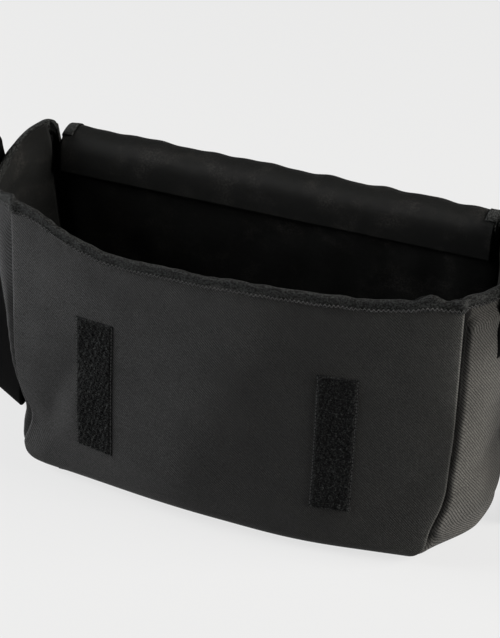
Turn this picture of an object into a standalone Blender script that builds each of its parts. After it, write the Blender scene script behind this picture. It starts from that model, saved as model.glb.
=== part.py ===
"""Messenger bag, standing open with its flap thrown back over the rear.

Metres, +Z up. The bag faces -Y and stands on Z = 0, with X = 0 in the middle of its width and
Y = 0 in the middle of its side panels. The strap's two ends turn on one line along X.
Each shell is an open sheet shaped by a function of (u, v), thickened by a Solidify modifier.
"""

import math

import bmesh
import bpy
from mathutils import Vector

# ---- driving dimensions ---------------------------------------------------------------------------
BODY_H = 0.254            # just above the back corners, the highest points of the body
BACK_TOP_Z = 0.2355       # top of the back panel between its corners
BACK_CORNER_SHARE = 0.954  # of its half width, beyond which the top climbs to the corner
MOUTH_Z = 0.236           # mouth edge at the front corners
MOUTH_DIP = 0.008         # how far the mouth edge sags in the middle of the front
HALF_W_FRONT = 0.176      # half width at the front seam, near the top
HALF_W_BACK = 0.186       # half width at the back seam, near the top
FOOT_TAPER_FRONT = 0.011  # how much narrower the front seam is at the foot
FOOT_TAPER_BACK = 0.014
FRONT_Y_FOOT = -0.0640    # front seam at the floor
FRONT_LEAN = 0.0715       # the front leans back by this much for each metre of height
FRONT_BULGE = 0.020       # crown of the front panel between its seams
BACK_Y_FOOT = 0.066
BACK_Y_TOP = 0.055
SIDE_BULGE = 0.026        # crown of each side panel
LEFT_HOLLOW = 0.0135      # how much less the left side is crowned near its foot
CORNER_R = 0.022          # lower corners of the front and back panels
SEAM_LIFT = 0.003         # front and back panels end this far above the floor

SHELL_T = 0.0020          # outer twill with its backing
LINING_T = 0.0010
GAP = 0.0005              # between neighbouring layers
LINING_IN = 0.0048        # lining's distance inside the outer face
BOARD_T = 0.0020
FOAM_T = 0.0040
BACK_LINING_IN = 0.0070
LINING_FRONT_GAP = LINING_IN + LINING_T + GAP
LINING_BACK_GAP = BACK_LINING_IN + LINING_T + GAP
BINDING_T = 0.0010
BINDING_LEG = 0.0090

DIVIDER_Y = 0.0200        # front face of the laptop divider
DIVIDER_TOP = 0.125
DIVIDER_INSET = 0.0065     # of its outline from the body's seams

LOOP_W = 0.032            # loop strips on the front panel
LOOP_H = 0.118
LOOP_CENTRES = (("left", -0.0990), ("right", 0.0948))
LOOP_Z = 0.046
PILE_T = 0.0022           # thickness of a hook or loop strip
HOOK_H = 0.100

FLAP_HALF_W = 0.1745
FLAP_SHELL_T = 0.0014
FLAP_LINING_T = 0.0010
FLAP_GAP = 0.0003
HINGE_Y = 0.0565          # where the flap leaves the back panel
HINGE_Z = 0.2400
ROLL_Y = 0.0800           # where the thrown-back flap starts to hang
FLAP_TOP_LEN = 0.1260     # from that line to the fold over the front edge
FLAP_FRONT_LEN = 0.2150
FOLD_REST_DEG = 59.3      # the resting fold, which lets the tail lie out on the floor
HINGE_CLEAR = 0.0026      # each rigid stretch stops this short of its fold line
FLAP_CORNER_R = 0.030

WEB_HALF_W = 0.025        # shoulder webbing
WEB_T = 0.0018
TAB_LOW = 0.180           # lower end of the webbing sewn to each side panel
TAB_OUT = 0.0038          # gap between side panel and tab, which passes over the mouth binding
PIVOT_Z = 0.2500          # the strap turns about this line along X
PIVOT_X = 0.2190          # where the free strap starts
BACK_RUN_Y = 0.3160       # the strap's run behind the bag
BACK_RUN_Z = 0.0310
RING_X = -0.0600
RING_PITCH = 0.0180       # between the ring's two upright bars
SLIDER_X = 0.0680
BAR_R = 0.0024
LAYER_Y = 0.0082          # from the long run to the returning run, round the ring's bar
BUCKLE_HALF_H = 0.0290

FABRIC = (0.030, 0.030, 0.031)
SIDE_FABRIC = (0.040, 0.038, 0.036)
LINING = (0.018, 0.019, 0.018)
BINDING = (0.012, 0.012, 0.012)
PILE = (0.006, 0.006, 0.007)
WEBBING = (0.008, 0.008, 0.009)
BOARD = (0.05, 0.05, 0.05)
FOAM = (0.12, 0.12, 0.12)
PLASTIC = (0.010, 0.010, 0.011)


# ---- scene and helpers ----------------------------------------------------------------------------
def clear_scene():
    for old in list(bpy.data.objects):
        bpy.data.objects.remove(old)
    collection = bpy.data.collections.new("messenger_bag")
    bpy.context.scene.collection.children.link(collection)
    return collection


BAG = clear_scene()


def material(name, colour, roughness):
    made = bpy.data.materials.get(name)
    if made is None:
        made = bpy.data.materials.new(name)
        made.use_nodes = True
        shader = made.node_tree.nodes["Principled BSDF"]
        shader.inputs["Base Color"].default_value = (*colour, 1.0)
        shader.inputs["Roughness"].default_value = roughness
        shader.inputs["Metallic"].default_value = 0.0
    return made


def add_object(name, bm, finish):
    mesh = bpy.data.meshes.new(name)
    bm.to_mesh(mesh)
    bm.free()
    mesh.shade_smooth()
    mesh.set_sharp_from_angle(angle=math.radians(40))
    made = bpy.data.objects.new(name, mesh)
    made.data.materials.append(material(*finish))
    BAG.objects.link(made)
    return made


def sheet(name, shape, columns, rows, thickness, finish, side=-1.0, of_body=False):
    """A sheet over u in -1..1 and v in 0..1. side -1 thickens it behind its face, 0 about it."""
    bm = bmesh.new()
    bmesh.ops.create_grid(bm, x_segments=columns, y_segments=rows, size=1.0)
    for vertex in bm.verts:
        at = shape(vertex.co.x, (vertex.co.y + 1.0) / 2.0)
        vertex.co = settle(at) if of_body else at
    made = add_object(name, bm, finish)
    solid = made.modifiers.new("thickness", "SOLIDIFY")
    solid.thickness = thickness
    solid.offset = side
    solid.use_even_offset = True
    return made


def block(name, low, high, finish, bevel=0.0):
    """A box between two corners, with its edges eased."""
    low, high = Vector(low), Vector(high)
    bm = bmesh.new()
    bmesh.ops.create_cube(bm, size=1.0)
    for vertex in bm.verts:
        vertex.co = Vector(vertex.co[i] * (high - low)[i] for i in range(3))
    made = add_object(name, bm, finish)
    made.location = (low + high) / 2.0
    if bevel:
        edge = made.modifiers.new("eased edges", "BEVEL")
        edge.width = bevel
        edge.segments = 2
    return made


def union(name, pieces):
    """Overlapping solids merged into one with Boolean modifiers."""
    base = pieces[0]
    for other in pieces[1:]:
        merge = base.modifiers.new("merge " + other.name, "BOOLEAN")
        merge.operation = "UNION"
        merge.object = other
    bpy.context.view_layer.update()
    graph = bpy.context.evaluated_depsgraph_get()
    mesh = bpy.data.meshes.new_from_object(base.evaluated_get(graph))
    mesh.transform(base.matrix_world)
    for piece in pieces:
        bpy.data.objects.remove(piece)
    made = bpy.data.objects.new(name, mesh)
    BAG.objects.link(made)
    return made


def smoothstep(t):
    t = min(1.0, max(0.0, t))
    return t * t * (3.0 - 2.0 * t)


def mix(a, b, t):
    return a + (b - a) * t


def settle(at):
    """The soft body sways to its right, most at the front seams and a little above the floor."""
    depth = (at.y + 0.060) / 0.120
    edge = smoothstep((abs(at.x) - 0.110) / 0.050)
    if at.x > 0:
        sway = 0.0056 * (1.0 - smoothstep(depth / 0.5))
        sway += 0.0085 * math.exp(-(((at.z - 0.055) / 0.040) ** 2)) * (1.0 - 0.2 * smoothstep(depth))
    else:
        sway = 0.0042 * smoothstep(at.z / 0.03) * (1.0 - smoothstep(depth / 0.5))
        sway += 0.0065 * math.exp(-(((at.z - 0.045) / 0.028) ** 2)) * (1.0 - smoothstep(depth / 0.9))
    return at + Vector((sway * edge, 0.0, 0.0))


# ---- the body's form ------------------------------------------------------------------------------
def half_width(z, depth):
    """Half width between the seams at height z; depth 0 is the front seam and 1 the back seam."""
    front = HALF_W_FRONT - FOOT_TAPER_FRONT * (1.0 - smoothstep(z / 0.13))
    back = HALF_W_BACK - FOOT_TAPER_BACK * (1.0 - smoothstep(z / 0.20))
    return mix(front, back, depth)


def corner_width(z, depth, inset=0.0):
    """Half width of a panel at height z, with the round lower corners taken off."""
    above = z - SEAM_LIFT - inset
    radius = CORNER_R - inset
    side = half_width(z, depth) - inset
    if above >= radius:
        return side
    return side - radius + math.sqrt(max(0.0, radius**2 - (radius - above) ** 2))


def front_y(x, z):
    crown = FRONT_BULGE * (0.65 + 0.35 * smoothstep(z / 0.05))
    return FRONT_Y_FOOT + FRONT_LEAN * z - crown * (1.0 - (x / 0.18) ** 2)


def back_y(x, z):
    t = z / BODY_H
    sag = 0.004 * (1.0 - (x / 0.19) ** 2) * 4.0 * t * (1.0 - t)
    return mix(BACK_Y_FOOT, BACK_Y_TOP, t) + sag


def mouth_z(depth):
    """Height of a side panel's top edge, which climbs to the back corner."""
    return mix(MOUTH_Z, BODY_H - 0.002, smoothstep(depth * 1.1 - 0.1))


def front_top(x):
    return MOUTH_Z - MOUTH_DIP * (1.0 - (x / 0.17) ** 2)


def back_top(share):
    """Height of the back panel's top edge, which climbs at its corners."""
    climb = smoothstep((share - BACK_CORNER_SHARE) / (1.0 - BACK_CORNER_SHARE))
    return mix(BACK_TOP_Z, BODY_H - 0.002, climb)


def panel(depth, inset=0.0, behind=0.0, below=0.0):
    """Shape function of a front (depth 0) or back (depth 1) panel, seen from outside."""
    facing = 1.0 if depth == 0 else -1.0
    surface_y = front_y if depth == 0 else back_y

    def shape(u, v):
        low = SEAM_LIFT + inset
        if depth == 0:
            share, top = u, front_top(u * half_width(0.12, depth))
        else:
            share = u * BACK_CORNER_SHARE / 0.875
            if abs(u) > 0.875:
                share = math.copysign(mix(BACK_CORNER_SHARE, 1.0, (abs(u) - 0.875) / 0.125), u)
            top = back_top(abs(share))
        z = mix(low, top - below, v**1.4)
        x = facing * share * corner_width(z, depth, inset)
        return Vector((x, surface_y(x, z) + facing * behind, z))

    return shape


def side_crown(z, facing):
    crown = SIDE_BULGE * (0.85 + 0.15 * smoothstep(z / 0.05)) * (1.0 + 0.10 * smoothstep((z - 0.16) / 0.09))
    if facing < 0:
        crown -= LEFT_HOLLOW * (1.0 - smoothstep((z - 0.09) / 0.10))
    return crown


def outline(u, depth, inset, below):
    """(x, z, outward x, outward z, share of side crown) along the side-bottom-side strip."""
    share, facing = abs(u), (-1.0 if u > 0 else 1.0)
    radius = CORNER_R - inset
    low = inset
    if share > 0.46:
        top = mouth_z(depth) - below
        z = mix(low + radius, top, (share - 0.46) / 0.54)
        return facing * (half_width(z, depth) - inset), z, facing, 0.0, 1.0
    corner_x = half_width(low + radius, depth) - inset - radius
    if share > 0.30:
        turn = (share - 0.30) / 0.16 * math.pi / 2.0
        x = facing * (corner_x + radius * math.sin(turn))
        z = low + radius * (1.0 - math.cos(turn))
        return x, z, facing * math.sin(turn), -math.cos(turn), math.sin(turn) ** 2
    return facing * corner_x * share / 0.30, low, 0.0, -1.0, 0.0


def strip(inset=0.0, front_gap=0.0, back_gap=0.0, below=0.0):
    """Shape function of the strip that makes both sides and the bottom."""

    def shape(u, v):
        x, z, out_x, out_z, crowned = outline(u, v, inset, below)
        crown = crowned * side_crown(z, x) * 4.0 * v * (1.0 - v)
        x, z = x + out_x * crown, z + out_z * crown * 0.0
        seam_x = max(-0.176, min(0.176, x))
        y = mix(front_y(seam_x, z) + front_gap, back_y(seam_x, z) - back_gap, v)
        return Vector((x, y, z))

    return shape


def side_x(y, z, facing):
    """Outer face of a side panel, as a distance from X = 0."""
    gap = SHELL_T + 2 * GAP
    low, high = front_y(0.176, z) + gap, back_y(0.176, z) - gap
    v = (y - low) / (high - low)
    return half_width(z, v) + side_crown(z, facing) * 4.0 * v * (1.0 - v)


# ---- outer shell, lining and padding --------------------------------------------------------------
def build_shell():
    twill = ("black twill", FABRIC, 0.75)
    side_twill = ("side twill", SIDE_FABRIC, 0.72)
    sheet("front_panel", panel(0, below=0.0015), 14, 10, SHELL_T, twill, of_body=True)
    sheet("back_panel", panel(1), 16, 8, SHELL_T, twill, of_body=True)
    gap = SHELL_T + 2 * GAP
    sheet("gusset", strip(0.0, gap, gap, 0.0015), 40, 8, SHELL_T, side_twill, of_body=True)


def build_lining():
    cloth = ("lining cloth", LINING, 0.6)
    foam = ("foam", FOAM, 0.9)
    front = panel(0, LINING_IN, LINING_IN, 0.0015)
    sheet("front_lining", front, 14, 10, LINING_T, cloth, of_body=True)
    sheet("back_lining", panel(1, LINING_IN, BACK_LINING_IN), 16, 8, LINING_T, cloth, of_body=True)
    shape = strip(LINING_IN, LINING_FRONT_GAP, LINING_BACK_GAP, 0.0015)
    sheet("gusset_lining", shape, 32, 6, LINING_T, cloth, of_body=True)
    padding = panel(1, LINING_IN, SHELL_T + GAP, 0.0040)
    sheet("back_foam", padding, 16, 8, FOAM_T - 0.0003, foam, of_body=True)
    block(
        "base_board", (-0.138, -0.058, SHELL_T + GAP),
        (0.138, 0.056, SHELL_T + GAP + BOARD_T - 0.0003), ("board", BOARD, 0.5), 0.0005,
    )


def divider_half_width(z):
    return corner_width(z, 0.7, DIVIDER_INSET)


def build_divider():
    """A padded wall that makes the laptop sleeve, bound along its top."""
    cloth = ("lining cloth", LINING, 0.6)
    layers = (
        ("divider_front_cloth", LINING_T, cloth),
        ("divider_foam", FOAM_T, ("foam", FOAM, 0.9)),
        ("divider_back_cloth", LINING_T, cloth),
    )
    y = DIVIDER_Y
    for name, thickness, finish in layers:

        def wall(u, v, y=y):
            z = mix(SEAM_LIFT + DIVIDER_INSET, DIVIDER_TOP, v**1.4)
            return Vector((u * divider_half_width(z), y, z))

        sheet(name, wall, 6, 6, thickness, finish, of_body=True)
        y += thickness + FLAP_GAP
    back = y - FLAP_GAP

    def channel(u, v):
        front_leg, back_leg = DIVIDER_Y - FLAP_GAP - BINDING_T, back + FLAP_GAP + BINDING_T
        top = DIVIDER_TOP + FLAP_GAP + BINDING_T
        points = (
            (front_leg, top - BINDING_LEG),
            (front_leg, top),
            (back_leg, top),
            (back_leg, top - BINDING_LEG),
        )
        at = points[round((u + 1.0) * 1.5)]
        side = divider_half_width(DIVIDER_TOP)
        return Vector((mix(side, -side, v), at[0], at[1]))

    tape = ("binding tape", BINDING, 0.8)
    sheet("divider_binding", channel, 3, 1, BINDING_T, tape, of_body=True)


def binding_channel(edge, reverse=False):
    """A folded tape over an edge. edge(t) gives the outer face, the lining's face and the way out."""

    def shape(u, v):
        outer, inner, out = edge(1.0 - v if reverse else v)
        spot = round((u + 1.0) * 1.5)
        stand_off = out * (FLAP_GAP + BINDING_T)
        at = outer + stand_off if spot < 2 else inner - stand_off
        down = BINDING_LEG if spot in (0, 3) else 0.0
        return Vector((at.x, at.y, outer.z + FLAP_GAP + BINDING_T - 0.0015 - down))

    return shape


def build_mouth_binding():
    """Tape over the mouth's edge: one length along the front and one along each side."""
    tape = ("binding tape", BINDING, 0.8)

    def front_edge(t):
        x = mix(-0.1715, 0.1715, t)
        z = front_top(x)
        slope = Vector((-2.0 * FRONT_BULGE * x / 0.18**2, -1.0, 0.0)).normalized()
        slope.x = -slope.x
        outer = Vector((x, front_y(x, z), z))
        return outer, outer - slope * (LINING_IN + LINING_T), slope

    def side_edge(facing):
        shell = strip(0.0, SHELL_T + 2 * GAP, SHELL_T + 2 * GAP)
        lining = strip(LINING_IN, LINING_FRONT_GAP, LINING_BACK_GAP)

        def edge(t):
            v = mix(0.10, 0.88, t)
            at = shell(-facing, v)
            along = shell(-facing, v + 0.01) - at
            out = Vector((along.y, -along.x, 0.0)).normalized() * facing
            return at, lining(-facing, v) - out * LINING_T, out

        return edge

    for name, shape, rows in (
        ("mouth_binding_front", binding_channel(front_edge), 16),
        ("mouth_binding_left", binding_channel(side_edge(-1.0), True), 8),
        ("mouth_binding_right", binding_channel(side_edge(1.0)), 8),
    ):
        sheet(name, shape, 3, rows, BINDING_T, tape, of_body=True)


def build_loop_strips():
    """The soft half of the touch fastener, two upright strips sewn to the front panel."""
    for end, centre in LOOP_CENTRES:

        def shape(u, v, centre=centre):
            x = centre + u * LOOP_W / 2.0
            z = mix(LOOP_Z, LOOP_Z + LOOP_H, v)
            return Vector((x, front_y(x, z) - PILE_T - GAP, z))

        sheet(f"loop_strip_{end}", shape, 4, 6, PILE_T, ("loop pile", PILE, 0.95), of_body=True)


# ---- flap: a short hinge stretch, the top cover and the front cover --------------------------------
def flap_frame(origin, direction_deg):
    """Maps (x, along, off) to a point: along runs down the flap, off is towards its lining."""
    angle = math.radians(direction_deg)
    along = Vector((0.0, math.cos(angle), math.sin(angle)))
    lining_side = Vector((0.0, -along.z, along.y))

    def place(x, distance, off):
        return origin + Vector((x, 0.0, 0.0)) + along * distance + lining_side * off

    return place


def flap_layer(name, place, start, end, off, thickness, finish, half_w=FLAP_HALF_W, rounded=0.0):
    """One cloth layer of a stretch of flap, with its two far corners rounded off."""

    def shape(u, v):
        distance = mix(start, end, v ** (0.6 if rounded else 1.0))
        x = half_w
        beyond = distance - (end - rounded)
        if rounded and beyond > 0:
            x = half_w - rounded + math.sqrt(max(0.0, rounded**2 - beyond**2))
        return place(u * x, distance, off + thickness)

    return sheet(name, shape, 2, 14 if rounded else 2, thickness, finish)


def build_flap():
    twill = ("black twill", FABRIC, 0.75)
    cloth = ("lining cloth", LINING, 0.6)
    tape = ("binding tape", BINDING, 0.8)
    lining_off = FLAP_SHELL_T / 2.0 + FLAP_GAP
    shell_off = -FLAP_SHELL_T / 2.0
    roll = Vector((0.0, ROLL_Y, HINGE_Z))
    fold = Vector((0.0, ROLL_Y, HINGE_Z - FLAP_TOP_LEN))

    hinge_place = flap_frame(Vector((0.0, HINGE_Y, HINGE_Z)), 0.0)
    hinge_end = ROLL_Y - HINGE_Y - HINGE_CLEAR - 0.0012
    flap_layer("flap_hinge_shell", hinge_place, HINGE_CLEAR, hinge_end, shell_off, FLAP_SHELL_T, twill)
    flap_layer("flap_hinge_lining", hinge_place, HINGE_CLEAR, hinge_end, lining_off, FLAP_LINING_T, cloth)

    top_place = flap_frame(roll, -90.0)
    top_end = FLAP_TOP_LEN - HINGE_CLEAR
    flap_layer("flap_top_shell", top_place, HINGE_CLEAR, top_end, shell_off, FLAP_SHELL_T, twill)
    flap_layer("flap_top_lining", top_place, HINGE_CLEAR, top_end, lining_off, FLAP_LINING_T, cloth)

    front_place = flap_frame(fold, -90.0 + FOLD_REST_DEG)
    for name, off, thickness, finish in (
        ("flap_front_shell", shell_off, FLAP_SHELL_T, twill),
        ("flap_front_lining", lining_off, FLAP_LINING_T, cloth),
    ):
        flap_layer(
            name, front_place, HINGE_CLEAR, FLAP_FRONT_LEN - 0.003, off, thickness, finish,
            rounded=FLAP_CORNER_R,
        )

    tape_depth = FLAP_SHELL_T + FLAP_GAP + FLAP_LINING_T
    edge_in, edge_out = FLAP_HALF_W + FLAP_GAP, FLAP_HALF_W + FLAP_GAP + 2 * BINDING_T

    def side_tape(facing):
        def shape(u, v):
            x = facing * mix(edge_in, edge_out, (u * facing + 1.0) / 2.0)
            return top_place(x, mix(HINGE_CLEAR, top_end, v), shell_off + tape_depth)

        return shape

    sheet("flap_top_binding_left", side_tape(-1.0), 1, 2, tape_depth, tape)
    sheet("flap_top_binding_right", side_tape(1.0), 1, 2, tape_depth, tape)

    def edge_tape(u, v):
        """Down one side, round the tail and up the other, from the free corner outwards."""
        straight = FLAP_FRONT_LEN - 0.003 - FLAP_CORNER_R - HINGE_CLEAR
        grow = GAP + (u + 1.0) / 2.0 * 2 * BINDING_T
        radius = FLAP_CORNER_R + grow
        inner_x = FLAP_HALF_W - FLAP_CORNER_R
        side = 1.0 if v < 0.5 else -1.0
        t = min(v, 1.0 - v) * 2.0
        if t <= 0.5:
            x, distance = inner_x + radius, HINGE_CLEAR + straight * t / 0.5
        elif t <= 0.9:
            turn = (t - 0.5) / 0.4 * math.pi / 2.0
            x = inner_x + radius * math.cos(turn)
            distance = HINGE_CLEAR + straight + radius * math.sin(turn)
        else:
            x = inner_x * (1.0 - t) / 0.1
            distance = HINGE_CLEAR + straight + radius
        return front_place(side * x, distance, shell_off + tape_depth)

    sheet("flap_front_binding", edge_tape, 1, 40, tape_depth, tape)

    hook_mid = HINGE_Z + (ROLL_Y - HINGE_Y) * math.sqrt(0.5) - (LOOP_Z + LOOP_H / 2.0)
    hook_off = lining_off + FLAP_LINING_T + FLAP_GAP
    for end, centre in LOOP_CENTRES:

        def hook(u, v, centre=centre):
            along = mix(hook_mid - HOOK_H / 2.0, hook_mid + HOOK_H / 2.0, v)
            return front_place(centre + u * LOOP_W / 2.0, along, hook_off + PILE_T)

        sheet(f"hook_strip_{end}", hook, 1, 2, PILE_T, ("hook tape", PILE, 0.6))


# ---- shoulder strap -------------------------------------------------------------------------------
# One half of the strap's route, on the left, from its end at the side panel: a point, then the way
# across the webbing, then how much further out the right half runs, where that side is fuller.
ARM_ROUTE = (
    ((-PIVOT_X, 0.000, 0.2500), (0.00, -1.00, 0.00), 0.0),
    ((-0.2300, 0.000, 0.2500), (0.00, -1.00, 0.00), 0.0),
    ((-0.2385, 0.001, 0.2440), (0.00, -1.00, 0.00), 0.0),
    ((-0.2385, 0.003, 0.2280), (0.00, -1.00, 0.00), 0.003),
    ((-0.2300, 0.010, 0.1950), (0.15, -0.99, 0.00), 0.009),
    ((-0.2245, 0.022, 0.1550), (0.55, -0.83, 0.00), 0.014),
    ((-0.2225, 0.0255, 0.1150), (0.78, -0.62, 0.00), 0.018),
    ((-0.2205, 0.0240, 0.0740), (0.87, -0.49, 0.00), 0.022),
    ((-0.2185, 0.0250, 0.0350), (0.87, -0.49, 0.00), 0.020),
    ((-0.2190, 0.0335, 0.0115), (0.90, -0.43, 0.00), 0.014),
    ((-0.2210, 0.0530, 0.0028), (0.96, -0.28, 0.00), 0.008),
    ((-0.2240, 0.0850, 0.0025), (1.00, 0.00, 0.00), 0.003),
    ((-0.2260, 0.1300, 0.0060), (0.99, 0.00, 0.12), 0.0),
    ((-0.2265, 0.1900, 0.0185), (0.82, 0.00, 0.57), 0.0),
    ((-0.2240, 0.2360, 0.0290), (0.30, 0.00, 0.95), 0.0),
    ((-0.2140, 0.2770, BACK_RUN_Z), (0.00, 0.00, 1.00), 0.0),
    ((-0.1880, 0.3060, BACK_RUN_Z), (0.00, 0.00, 1.00), 0.0),
    ((-0.1480, BACK_RUN_Y, BACK_RUN_Z), (0.00, 0.00, 1.00), 0.0),
    ((-0.1100, BACK_RUN_Y, BACK_RUN_Z), (0.00, 0.00, 1.00), 0.0),
)


def catmull_rom(points, t):
    """A point on the smooth curve through points, with t from 0 to len(points) - 1."""
    i = min(int(t), len(points) - 2)
    f = t - i
    a, b = points[max(i - 1, 0)], points[i]
    c, d = points[i + 1], points[min(i + 2, len(points) - 1)]
    return 0.5 * (
        2 * b + (c - a) * f + (2 * a - 5 * b + 4 * c - d) * f**2 + (3 * b - a - 3 * c + d) * f**3
    )


def arm_points(mirror):
    """Samples of one arm's centreline and width direction, from the side panel to the back run."""
    places = [Vector(p) - Vector((extra if mirror < 0 else 0.0, 0.0, 0.0)) for p, _, extra in ARM_ROUTE]
    across = [Vector(w).normalized() for _, w, _ in ARM_ROUTE]
    flip = Vector((mirror, 1.0, 1.0))
    samples = []
    per_span = 2
    for k in range((len(places) - 1) * per_span + 1):
        t = k / per_span
        at = catmull_rom(places, t) * flip
        wide = catmull_rom(across, t).normalized() * flip
        samples.append((at, wide))
    return samples


def straight_run(start_x, end_x, y, steps):
    up = Vector((0.0, 0.0, 1.0))
    return [
        (Vector((mix(start_x, end_x, k / steps), y, BACK_RUN_Z)), up) for k in range(steps + 1)
    ]


def turn_round(bar_x, bar_y, radius, facing, steps=8):
    """Half a turn round an upright bar, from its -Y side to its +Y side, bulging towards facing."""
    up = Vector((0.0, 0.0, 1.0))
    turned = []
    for k in range(steps + 1):
        angle = math.pi * k / steps
        at = Vector((bar_x + facing * radius * math.sin(angle), bar_y - radius * math.cos(angle), BACK_RUN_Z))
        turned.append((at, up))
    return turned


def webbing(name, samples):
    """A flat woven band along samples of (centre, width direction)."""

    def shape(u, v):
        at, across = samples[round(v * (len(samples) - 1))]
        return at + across * (u * WEB_HALF_W)

    return sheet(name, shape, 1, len(samples) - 1, WEB_T, ("webbing", WEBBING, 0.7), side=0.0)


def build_tabs():
    """The ends of the webbing, sewn flat to the side panels and standing up past the mouth."""
    for name, facing in (("strap_tab_left", -1.0), ("strap_tab_right", 1.0)):

        def shape(u, v, facing=facing):
            y = mix(-WEB_HALF_W, WEB_HALF_W, v)
            z = mix(PIVOT_Z, TAB_LOW, (u + 1.0) / 2.0) if facing > 0 else mix(
                TAB_LOW, PIVOT_Z, (u + 1.0) / 2.0
            )
            out = side_x(y, min(z, MOUTH_Z), facing) + TAB_OUT + WEB_T
            return Vector((facing * out, y, z))

        sheet(name, shape, 4, 10, WEB_T, ("webbing", WEBBING, 0.7), of_body=True)


def build_strap():
    """Two lengths of webbing joined behind the bag by a ring and a slider."""
    loop_r = LAYER_Y / 2.0
    left_bar, right_bar = RING_X - RING_PITCH / 2.0, RING_X + RING_PITCH / 2.0
    bar_y = BACK_RUN_Y + loop_r
    left_arm = arm_points(1.0)
    run = straight_run(ARM_ROUTE[-1][0][0], left_bar, BACK_RUN_Y, 4)[1:]
    turned_back = turn_round(left_bar, bar_y, loop_r, 1.0)[1:]
    stub = straight_run(left_bar, left_bar - 0.030, BACK_RUN_Y + LAYER_Y, 2)[1:]
    webbing("strap_short", left_arm + run + turned_back + stub)

    right_arm = arm_points(-1.0)
    run = straight_run(-ARM_ROUTE[-1][0][0], right_bar, BACK_RUN_Y, 8)[1:]
    turned_back = turn_round(right_bar, bar_y, loop_r, -1.0)[1:]
    webbing("strap_long", right_arm + run + turned_back)

    return_y = BACK_RUN_Y + LAYER_Y
    webbing("strap_return", straight_run(right_bar + GAP, SLIDER_X - 0.0040, return_y, 6))

    build_ring(left_bar, right_bar, bar_y)
    build_slider(return_y)


def bar(name, x, y, half_length, radius):
    bm = bmesh.new()
    bmesh.ops.create_cone(
        bm, cap_ends=True, segments=12, radius1=radius, radius2=radius, depth=2 * half_length
    )
    made = add_object(name, bm, ("moulded plastic", PLASTIC, 0.4))
    made.location = (x, y, BACK_RUN_Z)
    return made


def build_ring(left_bar, right_bar, bar_y):
    plastic = ("moulded plastic", PLASTIC, 0.4)
    pieces = [bar("ring bar left", left_bar, bar_y, BUCKLE_HALF_H - 0.001, BAR_R)]
    pieces.append(bar("ring bar right", right_bar, bar_y, BUCKLE_HALF_H - 0.001, BAR_R))
    for end in (-1.0, 1.0):
        z = BACK_RUN_Z + end * (BUCKLE_HALF_H - 0.0015)
        low = (left_bar - 0.0026, bar_y - 0.0024, z - 0.0017)
        high = (right_bar + 0.0026, bar_y + 0.0024, z + 0.0017)
        pieces.append(block(f"ring end {end}", low, high, plastic))
    union("ring", pieces)


def build_slider(return_y):
    """Three-bar slider: the long run lies straight between its outer bars and its centre bar."""
    plastic = ("moulded plastic", PLASTIC, 0.4)
    bar_r = 0.0016
    loop_r = bar_r + FLAP_GAP + WEB_T / 2.0 + 0.0001
    outer_y = BACK_RUN_Y - WEB_T / 2.0 - GAP - BAR_R
    centre_y = return_y - loop_r
    pieces = [bar("slider centre bar", SLIDER_X, centre_y, BUCKLE_HALF_H - 0.001, bar_r)]
    for side in (-1.0, 1.0):
        x = SLIDER_X + side * 0.0120
        pieces.append(bar(f"slider bar {side}", x, outer_y, BUCKLE_HALF_H - 0.001, BAR_R))
    for end in (-1.0, 1.0):
        z = BACK_RUN_Z + end * (BUCKLE_HALF_H - 0.0015)
        low = (SLIDER_X - 0.0148, outer_y - 0.0026, z - 0.0017)
        high = (SLIDER_X + 0.0148, centre_y + 0.0020, z + 0.0017)
        pieces.append(block(f"slider end {end}", low, high, plastic))
    union("slider", pieces)

    up = Vector((0.0, 0.0, 1.0))
    start = [(Vector((SLIDER_X - 0.0035, return_y, BACK_RUN_Z)), up)]
    turned = turn_round(SLIDER_X, centre_y, loop_r, 1.0, 6)[::-1]
    tail_y = return_y - WEB_T - GAP
    tail = [(Vector((SLIDER_X - 0.0060, tail_y - 0.0012, BACK_RUN_Z)), up)]
    tail += straight_run(SLIDER_X - 0.0110, SLIDER_X - 0.0300, tail_y, 1)
    webbing("slider_loop", start + turned + tail)


build_shell()
build_lining()
build_divider()
build_mouth_binding()
build_loop_strips()
build_flap()
build_tabs()
build_strap()
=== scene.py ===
"""Messenger bag: the looks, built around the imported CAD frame. Metres, +Z up, the bag's front faces -Y."""

import math
import random

import bpy
import numpy as np
from mathutils import Matrix, Vector


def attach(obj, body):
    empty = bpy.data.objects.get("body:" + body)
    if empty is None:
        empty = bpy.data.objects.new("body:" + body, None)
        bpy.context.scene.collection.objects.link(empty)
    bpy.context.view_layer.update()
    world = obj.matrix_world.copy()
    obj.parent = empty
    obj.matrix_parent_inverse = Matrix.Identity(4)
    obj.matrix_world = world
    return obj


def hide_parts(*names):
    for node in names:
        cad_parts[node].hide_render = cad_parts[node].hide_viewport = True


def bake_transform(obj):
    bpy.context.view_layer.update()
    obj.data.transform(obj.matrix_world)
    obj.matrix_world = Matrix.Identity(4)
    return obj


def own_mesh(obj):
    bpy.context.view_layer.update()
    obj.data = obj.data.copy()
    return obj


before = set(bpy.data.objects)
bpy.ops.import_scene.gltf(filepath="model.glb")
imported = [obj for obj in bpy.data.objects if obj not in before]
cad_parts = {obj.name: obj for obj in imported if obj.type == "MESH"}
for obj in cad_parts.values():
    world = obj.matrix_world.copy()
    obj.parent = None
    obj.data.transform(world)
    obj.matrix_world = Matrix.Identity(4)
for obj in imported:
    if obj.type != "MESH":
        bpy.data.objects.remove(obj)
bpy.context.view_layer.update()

RNG = random.Random(7)

# ---- the camera ----
VIEW_AZIMUTH = 19.5
VIEW_ELEVATION = 36.3
VIEW_ROLL = 0.7
VIEW_TARGET = Vector((0.002, 0.0, 0.147))
VIEW_DISTANCE = 1.899
VIEW_LENS = 139.9


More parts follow.
